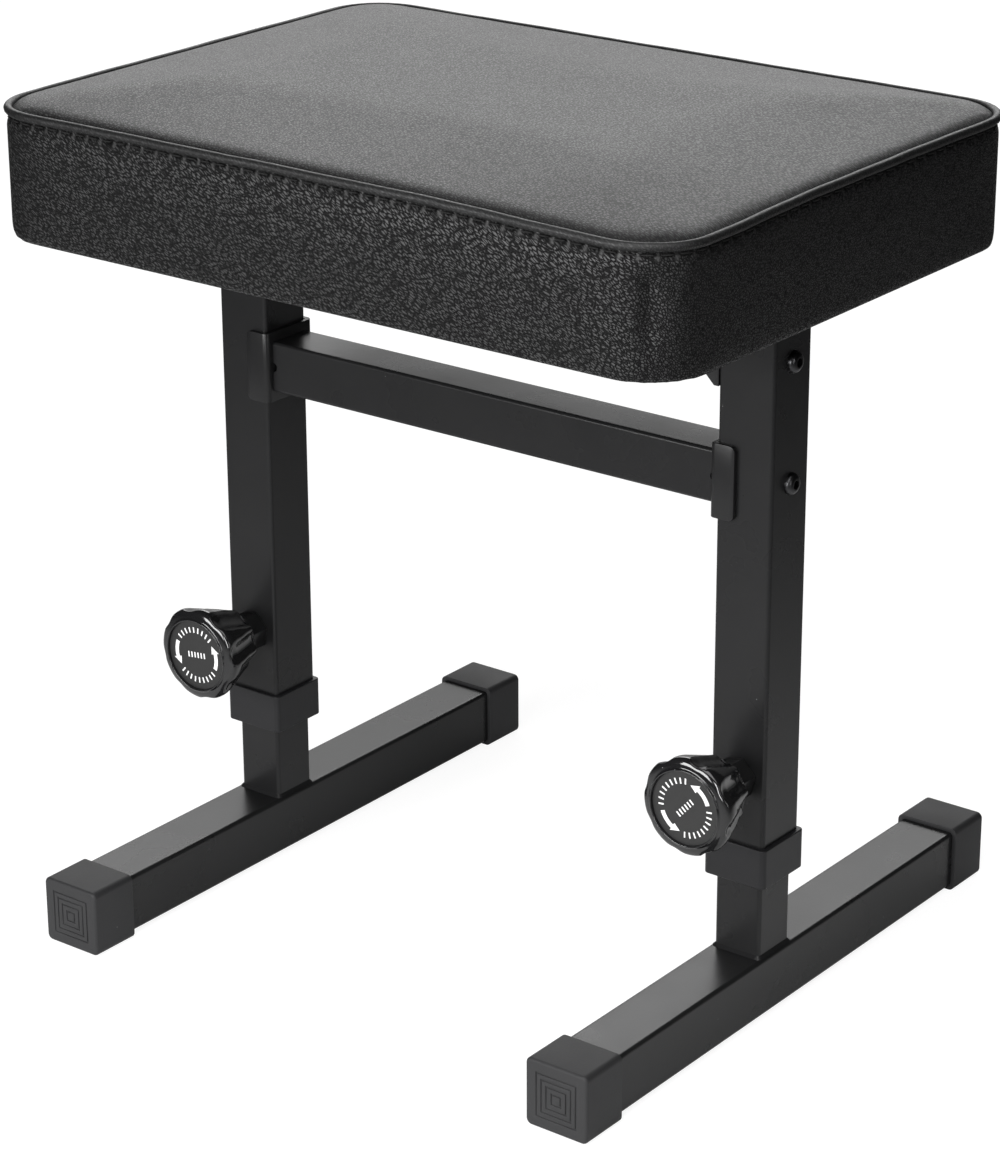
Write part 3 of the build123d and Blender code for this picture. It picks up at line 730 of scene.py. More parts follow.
# %% Wood, foam, cloth and print
def make_plywood():
    material, tree, shader, place = start_material("plywood", (0.6, 0.45, 0.28), 0.7)
    plies = put(tree, "ShaderNodeTexWave", wave_type="BANDS", bands_direction="Z")
    feed(tree, plies.inputs["Vector"], place)
    plies.inputs["Scale"].default_value = 130.0
    plies.inputs["Distortion"].default_value = 1.5
    tint(tree, shader, plies.outputs["Fac"], (0.36, 0.23, 0.12), (0.66, 0.5, 0.32))
    raise_surface(tree, shader, plies.outputs["Fac"], 0.1 * MM)
    return material


def make_dust_cloth():
    material, tree, shader, place = start_material("dust cloth", (0.02, 0.02, 0.02), 0.9)
    fibres = noise(tree, place, 1400.0, detail=3.0, roughness=0.7)
    tint(tree, shader, fibres.outputs["Fac"], (0.008, 0.008, 0.008), (0.04, 0.04, 0.04))
    raise_surface(tree, shader, fibres.outputs["Fac"], 0.25 * MM)
    return material


def make_print():
    material, tree, shader, place = start_material("white print", (0.82, 0.82, 0.82), 0.5)
    wear = noise(tree, place, 900.0, detail=2.0)
    tint(tree, shader, wear.outputs["Fac"], (0.62, 0.62, 0.62), (0.88, 0.88, 0.88))
    return material


def make_thread():
    material, tree, shader, place = start_material(
        "thread", (0.01, 0.01, 0.01), 0.65, Specular_IOR_Level=0.15
    )
    twist = put(tree, "ShaderNodeTexWave", wave_type="BANDS", bands_direction="DIAGONAL")
    feed(tree, twist.inputs["Vector"], place)
    twist.inputs["Scale"].default_value = 900.0
    tint(tree, shader, twist.outputs["Fac"], (0.004, 0.004, 0.004), (0.02, 0.02, 0.02))
    raise_surface(tree, shader, twist.outputs["Fac"], 0.1 * MM)
    return material


leatherette = make_leatherette("stretched leatherette", stitched=False, relief_share=0.3)
stitched_leatherette = make_leatherette("stitched leatherette", stitched=True)
paint = make_coated(
    "black paint", dark=PAINT_DARK, light=PAINT_LIGHT,
    smoothest=0.24, roughest=0.32, waves=500.0, depth=0.015 * MM, Specular_IOR_Level=0.2,
)
rubber = make_coated(
    "cap rubber", dark=(0.016, 0.016, 0.017), light=(0.027, 0.027, 0.028),
    smoothest=0.5, roughest=0.62, waves=900.0, depth=0.06 * MM, Specular_IOR_Level=0.25,
)
satin_plastic = make_coated(
    "satin plastic", dark=(0.01, 0.01, 0.011), light=(0.018, 0.018, 0.019),
    smoothest=0.34, roughest=0.42, waves=1200.0, depth=0.03 * MM, Specular_IOR_Level=0.18,
)
gloss_plastic = make_coated(
    "gloss plastic", dark=(0.006, 0.006, 0.0065), light=(0.01, 0.01, 0.0105),
    smoothest=0.07, roughest=0.12, waves=250.0, depth=0.008 * MM,
)
disc_plastic = make_coated(
    "disc plastic", dark=(0.009, 0.009, 0.009), light=(0.015, 0.015, 0.015),
    smoothest=0.45, roughest=0.55, waves=900.0, depth=0.02 * MM, Specular_IOR_Level=0.4,
)
black_zinc = make_coated(
    "black zinc", dark=(0.03, 0.03, 0.032), light=(0.06, 0.06, 0.062),
    smoothest=0.25, roughest=0.36, waves=900.0, depth=0.02 * MM, Metallic=1.0,
)
bright_zinc = make_coated(
    "bright zinc", dark=(0.5, 0.51, 0.53), light=(0.6, 0.61, 0.63),
    smoothest=0.25, roughest=0.35, waves=700.0, depth=0.02 * MM, Metallic=1.0,
)
spring_wire = make_coated(
    "spring wire", dark=(0.4, 0.4, 0.42), light=(0.5, 0.5, 0.52),
    smoothest=0.2, roughest=0.3, waves=900.0, depth=0.02 * MM, Metallic=1.0,
)
foam_cells = make_coated(
    "foam cells", dark=(0.7, 0.66, 0.5), light=(0.82, 0.78, 0.62),
    smoothest=0.85, roughest=0.95, waves=900.0, depth=0.4 * MM,
)
plywood = make_plywood()
dust_cloth = make_dust_cloth()
white_print = make_print()
thread = make_thread()
print("materials", len(bpy.data.materials))

# %% [markdown]
# ## The seat's outline
# The seat is a rounded rectangle. Its seams, piping and stitches all run along the same line, so one
# function walks along it, and another says how far round the seat a point lies. Distances start at
# the middle of the front and run anticlockwise as seen from above.

# %% Walk round the seat
SEAT_WIDTH = 392 * MM
SEAT_DEPTH = 286 * MM
SEAT_CORNER = 31 * MM
SEAT_MIDDLE = Vector((0.0, -16 * MM, 0.0))
BAND_BOTTOM = 356 * MM
SEAM_HEIGHT = 417.5 * MM
HALF_STRAIGHT_X = SEAT_WIDTH / 2 - SEAT_CORNER
HALF_STRAIGHT_Y = SEAT_DEPTH / 2 - SEAT_CORNER
QUARTER_ARC = SEAT_CORNER * math.pi / 2
ROUND_SEAT = 4 * (HALF_STRAIGHT_X + HALF_STRAIGHT_Y + QUARTER_ARC)
# the outline's stretches, as (how long, start of the straight or middle of the arc, starting direction)
STRETCHES = [
    (HALF_STRAIGHT_X, "straight", (0.0, -1.0), -90.0),
    (QUARTER_ARC, "arc", (1.0, -1.0), -90.0),
    (2 * HALF_STRAIGHT_Y, "straight", (1.0, -1.0), 0.0),
    (QUARTER_ARC, "arc", (1.0, 1.0), 0.0),
    (2 * HALF_STRAIGHT_X, "straight", (1.0, 1.0), 90.0),
    (QUARTER_ARC, "arc", (-1.0, 1.0), 90.0),
    (2 * HALF_STRAIGHT_Y, "straight", (-1.0, 1.0), 180.0),
    (QUARTER_ARC, "arc", (-1.0, -1.0), 180.0),
    (HALF_STRAIGHT_X, "straight", (-1.0, -1.0), 270.0),
]


def outline_point(distance, inset=0.0):
    """A point on the outline, drawn in by inset, and the outward direction there."""
    left = distance % ROUND_SEAT
    for length, kind, corner, facing in STRETCHES:
        if left > length:
            left -= length
            continue
        core = Vector((corner[0] * HALF_STRAIGHT_X, corner[1] * HALF_STRAIGHT_Y, 0.0))
        turn = math.radians(facing) + (left / SEAT_CORNER if kind == "arc" else 0.0)
        outward = Vector((math.cos(turn), math.sin(turn), 0.0))
        if kind == "straight":
            core += Vector((-outward.y, outward.x, 0.0)) * left
        return SEAT_MIDDLE + core + outward * (SEAT_CORNER - inset), outward
    return outline_point(0.0, inset)


# below these, lengths in metres and directions in degrees count as nothing
HAIR = 0.01 * MM
SPOT_SLACK = 1e-6
END_SLACK = 1e-9
WAY_SLACK = 0.01
TURN_SLACK = 0.001


def round_distance(place):
    """How far round the seat a place lies, and how far it stands out from the core, or 1 within it."""
    at = place - SEAT_MIDDLE
    core_x = max(-HALF_STRAIGHT_X, min(HALF_STRAIGHT_X, at.x))
    core_y = max(-HALF_STRAIGHT_Y, min(HALF_STRAIGHT_Y, at.y))
    out = Vector((at.x - core_x, at.y - core_y))
    if out.length < HAIR:
        if HALF_STRAIGHT_X - abs(at.x) < HALF_STRAIGHT_Y - abs(at.y):
            out = Vector((math.copysign(1, at.x), 0.0))
            core_x = math.copysign(HALF_STRAIGHT_X, at.x)
        else:
            out = Vector((0.0, math.copysign(1, at.y)))
            core_y = math.copysign(HALF_STRAIGHT_Y, at.y)
    turn = math.degrees(math.atan2(out.y, out.x))
    turn = turn + 360.0 if turn < -90.0 - TURN_SLACK else turn
    return distance_of(core_x, core_y, turn), out.length


def same_way(turn, facing):
    """Whether two directions in degrees are one, also where they are a full turn apart."""
    return abs((turn - facing + 180.0) % 360.0 - 180.0) < WAY_SLACK


def distance_of(core_x, core_y, turn):
    """The distance round the seat of a core point, with its outward direction in degrees from +X."""
    passed = 0.0
    for length, kind, corner, facing in STRETCHES:
        at_core = Vector((corner[0] * HALF_STRAIGHT_X, corner[1] * HALF_STRAIGHT_Y))
        if kind == "straight" and same_way(turn, facing):
            run = Vector((core_x, core_y)) - at_core
            along = run.dot(Vector((-math.sin(math.radians(facing)), math.cos(math.radians(facing)))))
            if -END_SLACK <= along <= length + END_SLACK:
                return passed + along
        at_corner = abs(core_x - at_core.x) + abs(core_y - at_core.y) < SPOT_SLACK
        if kind == "arc" and at_corner and facing <= turn <= facing + 90.0:
            return passed + math.radians(turn - facing) * SEAT_CORNER
        passed += length
    return 0.0


print("round the seat", round(ROUND_SEAT / MM, 1), "mm")

# %% [markdown]
# ## The stuffed seat
# The seat is a firm block of foam in a cover: a top panel, a side band, and a piping sewn between
# them. A box with rounded corners is shaped first, and its top is raised in rings to make the crown.
# It is then treated as a bag of cloth: pressure swells it for a few frames, while its seams and its
# lower edge are held still. That gives the sides and the crown the slightly uneven fullness of foam
# pressing on leatherette, which no bevel gives.

# %% Shape the block that will swell
BLOCK_INSET = 0.2 * MM
BLOCK_LOW = BAND_BOTTOM - 0.1 * MM
BLOCK_TOP = SEAM_HEIGHT - 0.8 * MM
# each ring of the crown: how far in from the one before, and how far up
CROWN_RINGS = [(3.2, 0.3), (2.2, 2.4), (4.0, 2.6), (6.5, 1.4), (8.5, 0.6)]
REMESH_SIZE = 3.4 * MM
LOWER_EDGE = 2.6 * MM


def rounded_block(inset, low, high):
    """A block with the seat's outline drawn in by inset, between two heights."""
    height = high - low
    middle = SEAT_MIDDLE + Vector((0.0, 0.0, low + height / 2))
    bpy.ops.mesh.primitive_cube_add(size=1.0, location=middle)
    block = bpy.context.object
    block.scale = (SEAT_WIDTH - 2 * inset, SEAT_DEPTH - 2 * inset, height)
    settle(block)
    edit(block, "EDGE")
    form = bmesh.from_edit_mesh(block.data)
    for edge in form.edges:
        start, end = (point.co for point in edge.verts)
        edge.select_set(abs(start.z - end.z) > height / 2)
    bmesh.update_edit_mesh(block.data)
    bpy.ops.mesh.bevel(offset=SEAT_CORNER - inset, segments=24, affect="EDGES")
    bpy.ops.object.mode_set(mode="OBJECT")
    return block


def make_seat_block():
    block = rounded_block(BLOCK_INSET, BLOCK_LOW, BLOCK_TOP)
    edit(block)
    pick_faces(block, lambda centre, normal: normal.z < -0.9)
    bpy.ops.mesh.bevel(offset=LOWER_EDGE, segments=3, affect="EDGES")
    pick_faces(block, lambda centre, normal: normal.z > 0.9)
    for inwards, upwards in CROWN_RINGS:
        bpy.ops.mesh.inset(thickness=inwards * MM, depth=upwards * MM)
    bpy.ops.object.mode_set(mode="OBJECT")
    return block


seat = make_seat_block()
print("seat block rises to", round(max(point.co.z for point in seat.data.vertices) / MM, 1), "mm")
add_modifier(seat, "REMESH", mode="VOXEL", voxel_size=REMESH_SIZE, use_smooth_shade=True)
apply_all(seat)
print("seat block", len(seat.data.vertices), "points after remeshing")

# %% Soft steps and bells
def bell(distance, width):
    return math.exp(-((distance / width) ** 2))


def ramp(value, low, high):
    """Rises softly from 0 to 1 between two values."""
    share = max(0.0, min(1.0, (value - low) / (high - low)))
    return share * share * (3 - 2 * share)


# %% Swell the seat as a bag of cloth
SWELL_FRAMES = 20
SWELL_PRESSURE = 2.0
SWELL_LIMIT = 5.0 * MM
CALM_STEPS = 25
CALM_FACTOR = 0.6
CALM_LOW = SEAM_HEIGHT + 2 * MM
CALM_HIGH = SEAM_HEIGHT + 5 * MM
HELD_BAND = 3.5 * MM
HELD_REACH = SEAT_CORNER - 8 * MM


def hold_seams(piece):
    """Pins the points near the seam, the turned-in lower edge and the underside."""
    held = piece.vertex_groups.new(name="sewn")
    for point in piece.data.vertices:
        at_edge = round_distance(point.co)[1] > HELD_REACH
        near_seam = at_edge and abs(point.co.z - SEAM_HEIGHT) < HELD_BAND
        if near_seam or point.co.z < BAND_BOTTOM + HELD_BAND:
            held.add([point.index], 1.0, "REPLACE")


def calm_top(piece):
    """Evens out the ripples that the cloth leaves on the crown."""
    crown = piece.vertex_groups.new(name="crown")
    for point in piece.data.vertices:
        crown.add([point.index], ramp(point.co.z, CALM_LOW, CALM_HIGH), "REPLACE")
    add_modifier(piece, "SMOOTH", factor=CALM_FACTOR, iterations=CALM_STEPS, vertex_group="crown")
    apply_all(piece)


def swell(piece):
    cloth = add_modifier(piece, "CLOTH")
    cloth.settings.use_pressure = True
    cloth.settings.uniform_pressure_force = SWELL_PRESSURE
    cloth.settings.vertex_group_mass = "sewn"
    cloth.settings.effector_weights.gravity = 0.0
    cloth.settings.quality = 5
    cloth.point_cache.frame_start = 1
    cloth.point_cache.frame_end = SWELL_FRAMES
    before = [point.co.copy() for point in piece.data.vertices]
    for step in range(1, SWELL_FRAMES + 1):
        bpy.context.scene.frame_set(step)
    apply_all(piece)
    bpy.context.scene.frame_set(1)
    farthest = 0.0
    for point, start in zip(piece.data.vertices, before):
        move = point.co - start
        farthest = max(farthest, move.length)
        if move.length > SWELL_LIMIT:
            point.co = start + move.normalized() * SWELL_LIMIT
    print("the cloth moved up to", round(farthest / MM, 2), "mm")


hold_seams(seat)
swell(seat)
calm_top(seat)
seat.vertex_groups.clear()

# %% [markdown]
# Underneath, the cover is folded in over the edge of a plywood board and the board closes the seat.
# A cutter of the board's shape, grown by a hair, hollows the stuffed form from below. What is left
# round the opening is the folded-in lip of the cover.

# %% Hollow the underside for the board
BOARD_INSET = 1.85 * MM
BOARD_LOW = 357.1 * MM
BOARD_HIGH = 370.6 * MM
LIP_INSET = 18 * MM
# the second cutter reaches this far below the cover and into the first one's hollow
LIP_CUT_BELOW = 9 * MM
LIP_CUT_ABOVE = 2 * MM


def cut_away(piece, cutter):
    add_modifier(piece, "BOOLEAN", operation="DIFFERENCE", object=cutter, solver="EXACT")
    apply_all(piece)
    bpy.data.objects.remove(cutter)


add_modifier(seat, "SUBSURF", levels=1, render_levels=1)
apply_all(seat)
cut_away(seat, rounded_block(BOARD_INSET, BOARD_LOW, BOARD_HIGH))
cut_away(seat, rounded_block(LIP_INSET, BAND_BOTTOM - LIP_CUT_BELOW, BOARD_LOW + LIP_CUT_ABOVE))
print("hollowed seat", len(seat.data.polygons), "faces")

# %% [markdown]
# The swollen seat gets the small accidents of a real one: it sinks a little at the front right
# corner, where the cover is pulled hardest, a soft dent runs down that corner, and the row of stitches
# draws in a shallow groove all the way round.

# %% Sink, dent and groove
STITCH_ROW = SEAM_HEIGHT - 3.2 * MM
GROOVE_DEPTH = 0.9 * MM
GROOVE_WIDTH = 2.6 * MM
SINK_DEPTH = 2.8 * MM
SINK_REACH = 75 * MM
SINK_MIDDLE = Vector((178 * MM, -141 * MM, 0.0))
DENT_PLACE = HALF_STRAIGHT_X + math.radians(35.0) * SEAT_CORNER
DENT_DEPTH = 2.6 * MM
DENT_WIDTH = 4.2 * MM
BULGE_PLACE = HALF_STRAIGHT_X + math.radians(57.0) * SEAT_CORNER
BULGE_HEIGHT = 0.9 * MM
BULGE_WIDTH = 6.0 * MM
DENT_TOP = 412 * MM
DENT_TOP_FADE = 14 * MM
DENT_LOW = 362 * MM
DENT_LOW_FADE = 22 * MM
# wear starts this far out from the core, and is whole at the second
SIDE_START = SEAT_CORNER - 9 * MM
SIDE_FULL = SEAT_CORNER - 3 * MM
SINK_LOW = BAND_BOTTOM + 15 * MM


def sink_at(place):
    """How far the seam has sunk near the front right corner."""
    flat = Vector((place.x, place.y, 0.0))
    return SINK_DEPTH * bell((flat - SINK_MIDDLE).length, SINK_REACH)


def wear_in(piece):
    for point in piece.data.vertices:
        distance, out = round_distance(point.co)
        side = ramp(out, SIDE_START, SIDE_FULL)
        outward = outline_point(distance)[1]
        groove = GROOVE_DEPTH * bell(point.co.z - STITCH_ROW, GROOVE_WIDTH)
        high = ramp(point.co.z, DENT_LOW, DENT_LOW + DENT_LOW_FADE)
        high *= 1 - ramp(point.co.z, DENT_TOP - DENT_TOP_FADE, DENT_TOP)
        dent = DENT_DEPTH * bell(distance - DENT_PLACE, DENT_WIDTH) * high
        dent -= BULGE_HEIGHT * bell(distance - BULGE_PLACE, BULGE_WIDTH) * high
        point.co -= outward * side * (groove + dent)
        point.co.z -= sink_at(point.co) * ramp(point.co.z, SINK_LOW, SEAM_HEIGHT)


wear_in(seat)
smooth(seat, 50.0)

# %% Map the side band along its stitches
STITCH_COUNT = 153
STITCH_PITCH = ROUND_SEAT / STITCH_COUNT


def map_stitches(piece):
    """A map whose first number counts stitches round the seat, and whose second is mm over their row."""
    layer = piece.data.uv_layers.new(name=SEAM_MAP)
    counts = [round_distance(point.co)[0] / STITCH_PITCH for point in piece.data.vertices]
    for face in piece.data.polygons:
        first = counts[face.vertices[0]]
        for loop in face.loop_indices:
            index = piece.data.loops[loop].vertex_index
            place = piece.data.vertices[index].co
            count = counts[index]
            count += STITCH_COUNT * round((first - count) / STITCH_COUNT)
            row = STITCH_ROW - sink_at(place)
            layer.data[loop].uv = (count, (place.z - row) / MM)


map_stitches(seat)
finish_piece(
    seat, "seat_cushion", "upper_frame", stitched_leatherette,
    ("cover_side", "cover_top", "seat_foam"),
)

# %% [markdown]
# ## The piping
# The piping is a cord sewn into a strip of the same leatherette. A rounded rectangle is turned into a
# curve, given the cord's thickness, and made a mesh again. It sinks with the seat's corner, and wavers
# a little in and out along its way, as sewn piping does.

# %% Sew on the piping
PIPING_RADIUS = 2.1 * MM
PIPING_INSET = 1.2 * MM
PIPING_STEPS = 260
# the cord's two waves: how far in and out, and how fast in radians per step
PIPING_WAVES = [(0.25 * MM, 0.31), (0.15 * MM, 0.83)]


def make_piping():
    bpy.ops.mesh.primitive_circle_add(vertices=PIPING_STEPS, radius=1.0)
    piping = bpy.context.object
    for index, point in enumerate(piping.data.vertices):
        place, outward = outline_point(index * ROUND_SEAT / PIPING_STEPS, PIPING_INSET)
        sway = sum(reach * math.sin(index * pace) for reach, pace in PIPING_WAVES)
        point.co = place + outward * sway
        point.co.z = SEAM_HEIGHT - sink_at(place)
    take(piping)
    bpy.ops.object.convert(target="CURVE")
    piping.data.bevel_depth = PIPING_RADIUS
    piping.data.bevel_resolution = 4
    bpy.ops.object.convert(target="MESH")
    return piping


piping = make_piping()
smooth(piping, 60.0)
finish_piece(piping, "seat_piping", "upper_frame", leatherette, ("piping",))

# %% [markdown]
# ## The stitches
# One stitch is a short thread that dives into the leather at both ends. It is modelled once, from a
# sphere pulled long, and copied along the row.

# %% Sew the row of stitches
STITCH_LENGTH = 6.4 * MM
STITCH_THICKNESS = 0.8 * MM
STITCH_RISE = 0.1 * MM
STITCH_BOW = 0.25 * MM


def make_stitch():
    bpy.ops.mesh.primitive_uv_sphere_add(segments=10, ring_count=6, radius=0.5)
    stitch = bpy.context.object
    stitch.scale = (STITCH_LENGTH, STITCH_THICKNESS, STITCH_THICKNESS)
    settle(stitch)
    for point in stitch.data.vertices:
        point.co.y += STITCH_BOW * (2 * point.co.x / STITCH_LENGTH) ** 2
    return stitch


def sew_row():
    stitch = make_stitch()
    copies = []
    for step in range(STITCH_COUNT):
        place, outward = outline_point((step + 0.5) * STITCH_PITCH)
        copy = duplicate(stitch)
        spot = place - outward * (GROOVE_DEPTH - STITCH_RISE)
        spot.z = STITCH_ROW - sink_at(place)
        along = Vector((-outward.y, outward.x, 0.0))
        turn = Matrix((along, -outward, Vector((0.0, 0.0, 1.0)))).transposed().to_4x4()
        copy.matrix_world = Matrix.Translation(spot) @ turn
        copies.append(copy)
    bpy.data.objects.remove(stitch)
    return join_all(copies)


stitches = sew_row()
smooth(stitches, 80.0)
finish_piece(stitches, "seat_stitches", "upper_frame", thread)

# %% [markdown]
# ## Staples underneath
# The thin cloth that closes the seat from below is stapled to the board through the folded-in cover.
# A staple is drawn out of one small block: along for its back, and up at both ends for its legs.

# %% Drive in the staples
STAPLE_BACK = 8.8 * MM
STAPLE_WIRE = (0.6 * MM, 1.1 * MM, 0.5 * MM)
STAPLE_LEG = 2.4 * MM
STAPLE_COUNT = 22
STAPLE_INSET = 13 * MM
STAPLE_ROUNDING = 0.12 * MM
# staples stand a little askew: by how much, and how fast that changes from one to the next, in radians
STAPLE_SKEW = 0.06
STAPLE_SKEW_PACE = 2.3
DUST_CLOTH_LOW = 355.5 * MM


def draw_staple():
    start = -(STAPLE_BACK + STAPLE_WIRE[0]) / 2
    bpy.ops.mesh.primitive_cube_add(size=1.0, location=(start, 0.0, 0.0))
    staple = bpy.context.object
    staple.scale = STAPLE_WIRE
    settle(staple)
    edit(staple)
    pick_faces(staple, lambda centre, normal: normal.x > 0.9)
    for run in (STAPLE_BACK, STAPLE_WIRE[0]):
        bpy.ops.mesh.extrude_region_move(TRANSFORM_OT_translate={"value": (run, 0.0, 0.0)})
    pick_faces(staple, lambda centre, normal: normal.z > 0.9 and abs(centre.x) > STAPLE_BACK / 2)
    bpy.ops.mesh.extrude_region_move(TRANSFORM_OT_translate={"value": (0.0, 0.0, STAPLE_LEG)})
    bpy.ops.object.mode_set(mode="OBJECT")
    add_modifier(staple, "BEVEL", width=STAPLE_ROUNDING, segments=2)
    apply_all(staple)
    return staple


def drive_staples():
    staple = draw_staple()
    copies = []
    for step in range(STAPLE_COUNT):
        place, outward = outline_point((step + 0.5) * ROUND_SEAT / STAPLE_COUNT, STAPLE_INSET)
        copy = duplicate(staple)
        along = math.atan2(outward.x, -outward.y) + STAPLE_SKEW * math.sin(step * STAPLE_SKEW_PACE)
        spot = Vector((place.x, place.y, DUST_CLOTH_LOW - STAPLE_WIRE[2] / 2))
        copy.matrix_world = Matrix.Translation(spot) @ Matrix.Rotation(along, 4, "Z")
        copies.append(copy)
    bpy.data.objects.remove(staple)
    return join_all(copies)


staples = drive_staples()
smooth(staples, 40.0)
finish_piece(staples, "cloth_staples", "upper_frame", bright_zinc)

# %% [markdown]
# ## The fluted knobs
# Each knob is moulded in gloss plastic: a barrel that widens towards the front, with eight hollows for
# the fingers and a thin raised rim round its face. Its side view is drawn as a line and spun round the
# pull axis. The hollows are then pressed in by shrinking columns of points towards the axis, all
# eight at once, and a subdivision rounds every edge as a mould does.

# %% Spin the knob's body
KNOB_AXIS_HEIGHT = 125 * MM
POST_FRONT = -31 * MM
KNOB_STAND_OFF = 14.6 * MM
KNOB_BACK = POST_FRONT - KNOB_STAND_OFF
POST_REACH = 150 * MM
FLUTES = 8
COLUMNS_PER_FLUTE = 12
KNOB_STEPS = FLUTES * COLUMNS_PER_FLUTE
# the side view, as (radius, distance forward of the knob's back), in mm
KNOB_PROFILE = [
    (12.2, 6.5), (12.2, 5.6), (12.2, 1.0), (12.2, 0.0), (12.8, 0.0), (15.0, 0.0), (16.0, 0.3),
    (16.5, 1.2), (16.9, 2.4), (17.5, 4.5), (18.4, 7.0), (19.3, 9.5), (20.2, 12.0), (21.1, 14.5),
    (22.0, 17.0), (22.7, 19.0), (23.3, 20.6), (23.7, 22.0), (24.0, 23.2), (24.2, 24.4), (24.25, 25.6),
    (24.0, 26.8), (23.4, 27.6), (22.4, 28.2), (21.0, 28.7), (19.7, 28.95), (19.35, 29.3),
    (19.2, 29.85), (18.8, 30.0), (18.4, 29.85), (18.3, 29.5), (18.3, 28.4), (18.3, 27.4),
]
FLUTE_RADIUS = 6.5
FLUTE_DEPTH = 2.7
FLUTE_NOSE = 23.4
FLUTE_FADE = 28.8
FLUTE_FADE_LENGTH = 2.5
GRIP_POINTS = slice(6, 26)
RING_SLACK = 0.05 * MM
INSIDE_GRIP = 15.5 * MM
# the inner wall starts at the skin's first point, steps in and then runs forwards
FIRST_RADIUS = 12.25 * MM
FIRST_FORWARD = 6.4 * MM
WALL_STEP = 0.2 * MM
WALL_SHARE = 0.65
WALL_RUN = 18.0 * MM


def spin_knob():
    """The knob's skin about the Z axis, with its back at height zero."""
    knob = draw_line([(radius * MM, 0.0, forward * MM) for radius, forward in KNOB_PROFILE])
    bpy.ops.mesh.spin(
        steps=KNOB_STEPS, angle=2 * math.pi, center=(0.0, 0.0, 0.0), axis=(0.0, 0.0, 1.0)
    )
    merge_doubles(knob, HAIR)
    return knob


def flute_cut(across, forward):
    """How deep a hollow is, in mm, at a distance across it and forward of the knob's back."""
    nose = max(0.0, forward - FLUTE_NOSE)
    room = FLUTE_RADIUS ** 2 - nose ** 2 - across ** 2
    return max(0.0, math.sqrt(max(0.0, room)) - (FLUTE_RADIUS - FLUTE_DEPTH))


def press_flutes(knob):
    edit(knob, "VERT")
    for radius, forward in KNOB_PROFILE[GRIP_POINTS]:
        for column in range(COLUMNS_PER_FLUTE // 2):
            across = radius * math.sin(column * 2 * math.pi / KNOB_STEPS)
            cut = flute_cut(across, forward) * min(1.0, (FLUTE_FADE - forward) / FLUTE_FADE_LENGTH)
            if cut <= 0.0:
                continue

            def in_column(place):
                turn = math.atan2(place.y, place.x) * KNOB_STEPS / (2 * math.pi)
                offset = round(turn) % COLUMNS_PER_FLUTE
                ring = abs(place.z - forward * MM) < RING_SLACK and place.xy.length > INSIDE_GRIP
                return ring and offset in (column, COLUMNS_PER_FLUTE - column if column else 0)

            pick_points(knob, in_column)
            shrink = (radius - cut) / radius
            bpy.ops.transform.resize(value=(shrink, shrink, 1.0), center_override=(0.0, 0.0, 0.0))
    bpy.ops.object.mode_set(mode="OBJECT")


def close_knob(knob):
    """Gives the skin its inner wall, which hides behind the face disc and round the barrel."""
    edit(knob, "VERT")
    pick_points(knob, lambda place: place.xy.length < FIRST_RADIUS and place.z > FIRST_FORWARD)
    bpy.ops.mesh.extrude_region_move(TRANSFORM_OT_translate={"value": (0.0, 0.0, WALL_STEP)})
    bpy.ops.transform.resize(value=(WALL_SHARE, WALL_SHARE, 1.0), center_override=(0.0, 0.0, 0.0))
    bpy.ops.mesh.extrude_region_move(TRANSFORM_OT_translate={"value": (0.0, 0.0, WALL_RUN)})
    bpy.ops.mesh.select_all(action="DESELECT")
    bpy.ops.mesh.select_non_manifold()
    bpy.ops.mesh.bridge_edge_loops()
    turn_outwards()


knob_form = spin_knob()
press_flutes(knob_form)
close_knob(knob_form)
add_modifier(knob_form, "SUBSURF", levels=2, render_levels=2)
apply_all(knob_form)
smooth(knob_form, 40.0)
print("knob", len(knob_form.data.polygons), "faces")

# %% [markdown]
# The knob is copied to both posts, facing forwards. The two were screwed in by different amounts, so
# each copy is turned to the angle that its hollows have in the photograph.

# %% Fit the knobs
KNOB_TURNS = {"left": 12.0, "right": 31.0}


def fit_to_lock(form, side, turn, forward=0.0):
    """A copy of a form modelled about Z, put on a post's lock with its +Z forwards."""
    piece = duplicate(form)
    place = Vector((SIDES[side] * POST_REACH, KNOB_BACK - forward, KNOB_AXIS_HEIGHT))
    face_front = Matrix.Rotation(math.radians(90.0), 4, "X")
    piece.matrix_world = Matrix.Translation(place) @ face_front @ Matrix.Rotation(math.radians(turn), 4, "Z")
    return piece


for side in SIDES:
    fluted = fit_to_lock(knob_form, side, KNOB_TURNS[side])
    finish_piece(
        fluted, f"fluted_knob_{side}", f"lock_knob_{side}", gloss_plastic, (f"knob_{side}",)
    )
bpy.data.objects.remove(knob_form)

# %% [markdown]
# ## The turning arrows
# Two curved arrows on each knob's face say which way it loosens. They are printed, so they are only a
# tenth of a millimetre thick. A short line is spun into an arc, and a wider triangle at its end makes
# the head.

# %% Print the arrows
ARROW_RADIUS = 13.2 * MM
ARROW_WIDTH = 2.2 * MM
ARROW_HEAD_WIDTH = 4.8 * MM
ARROW_SWEEP = math.radians(38.0)
ARROW_HEAD_SWEEP = math.radians(19.0)
ARROW_TIP_INWARDS = 0.6 * MM
PRINT_THICKNESS = 0.12 * MM
DISC_FACE = 28.3 * MM
ARROW_STEPS = 12
ARROW_TURNS = {"left": -22.0, "right": 20.0}


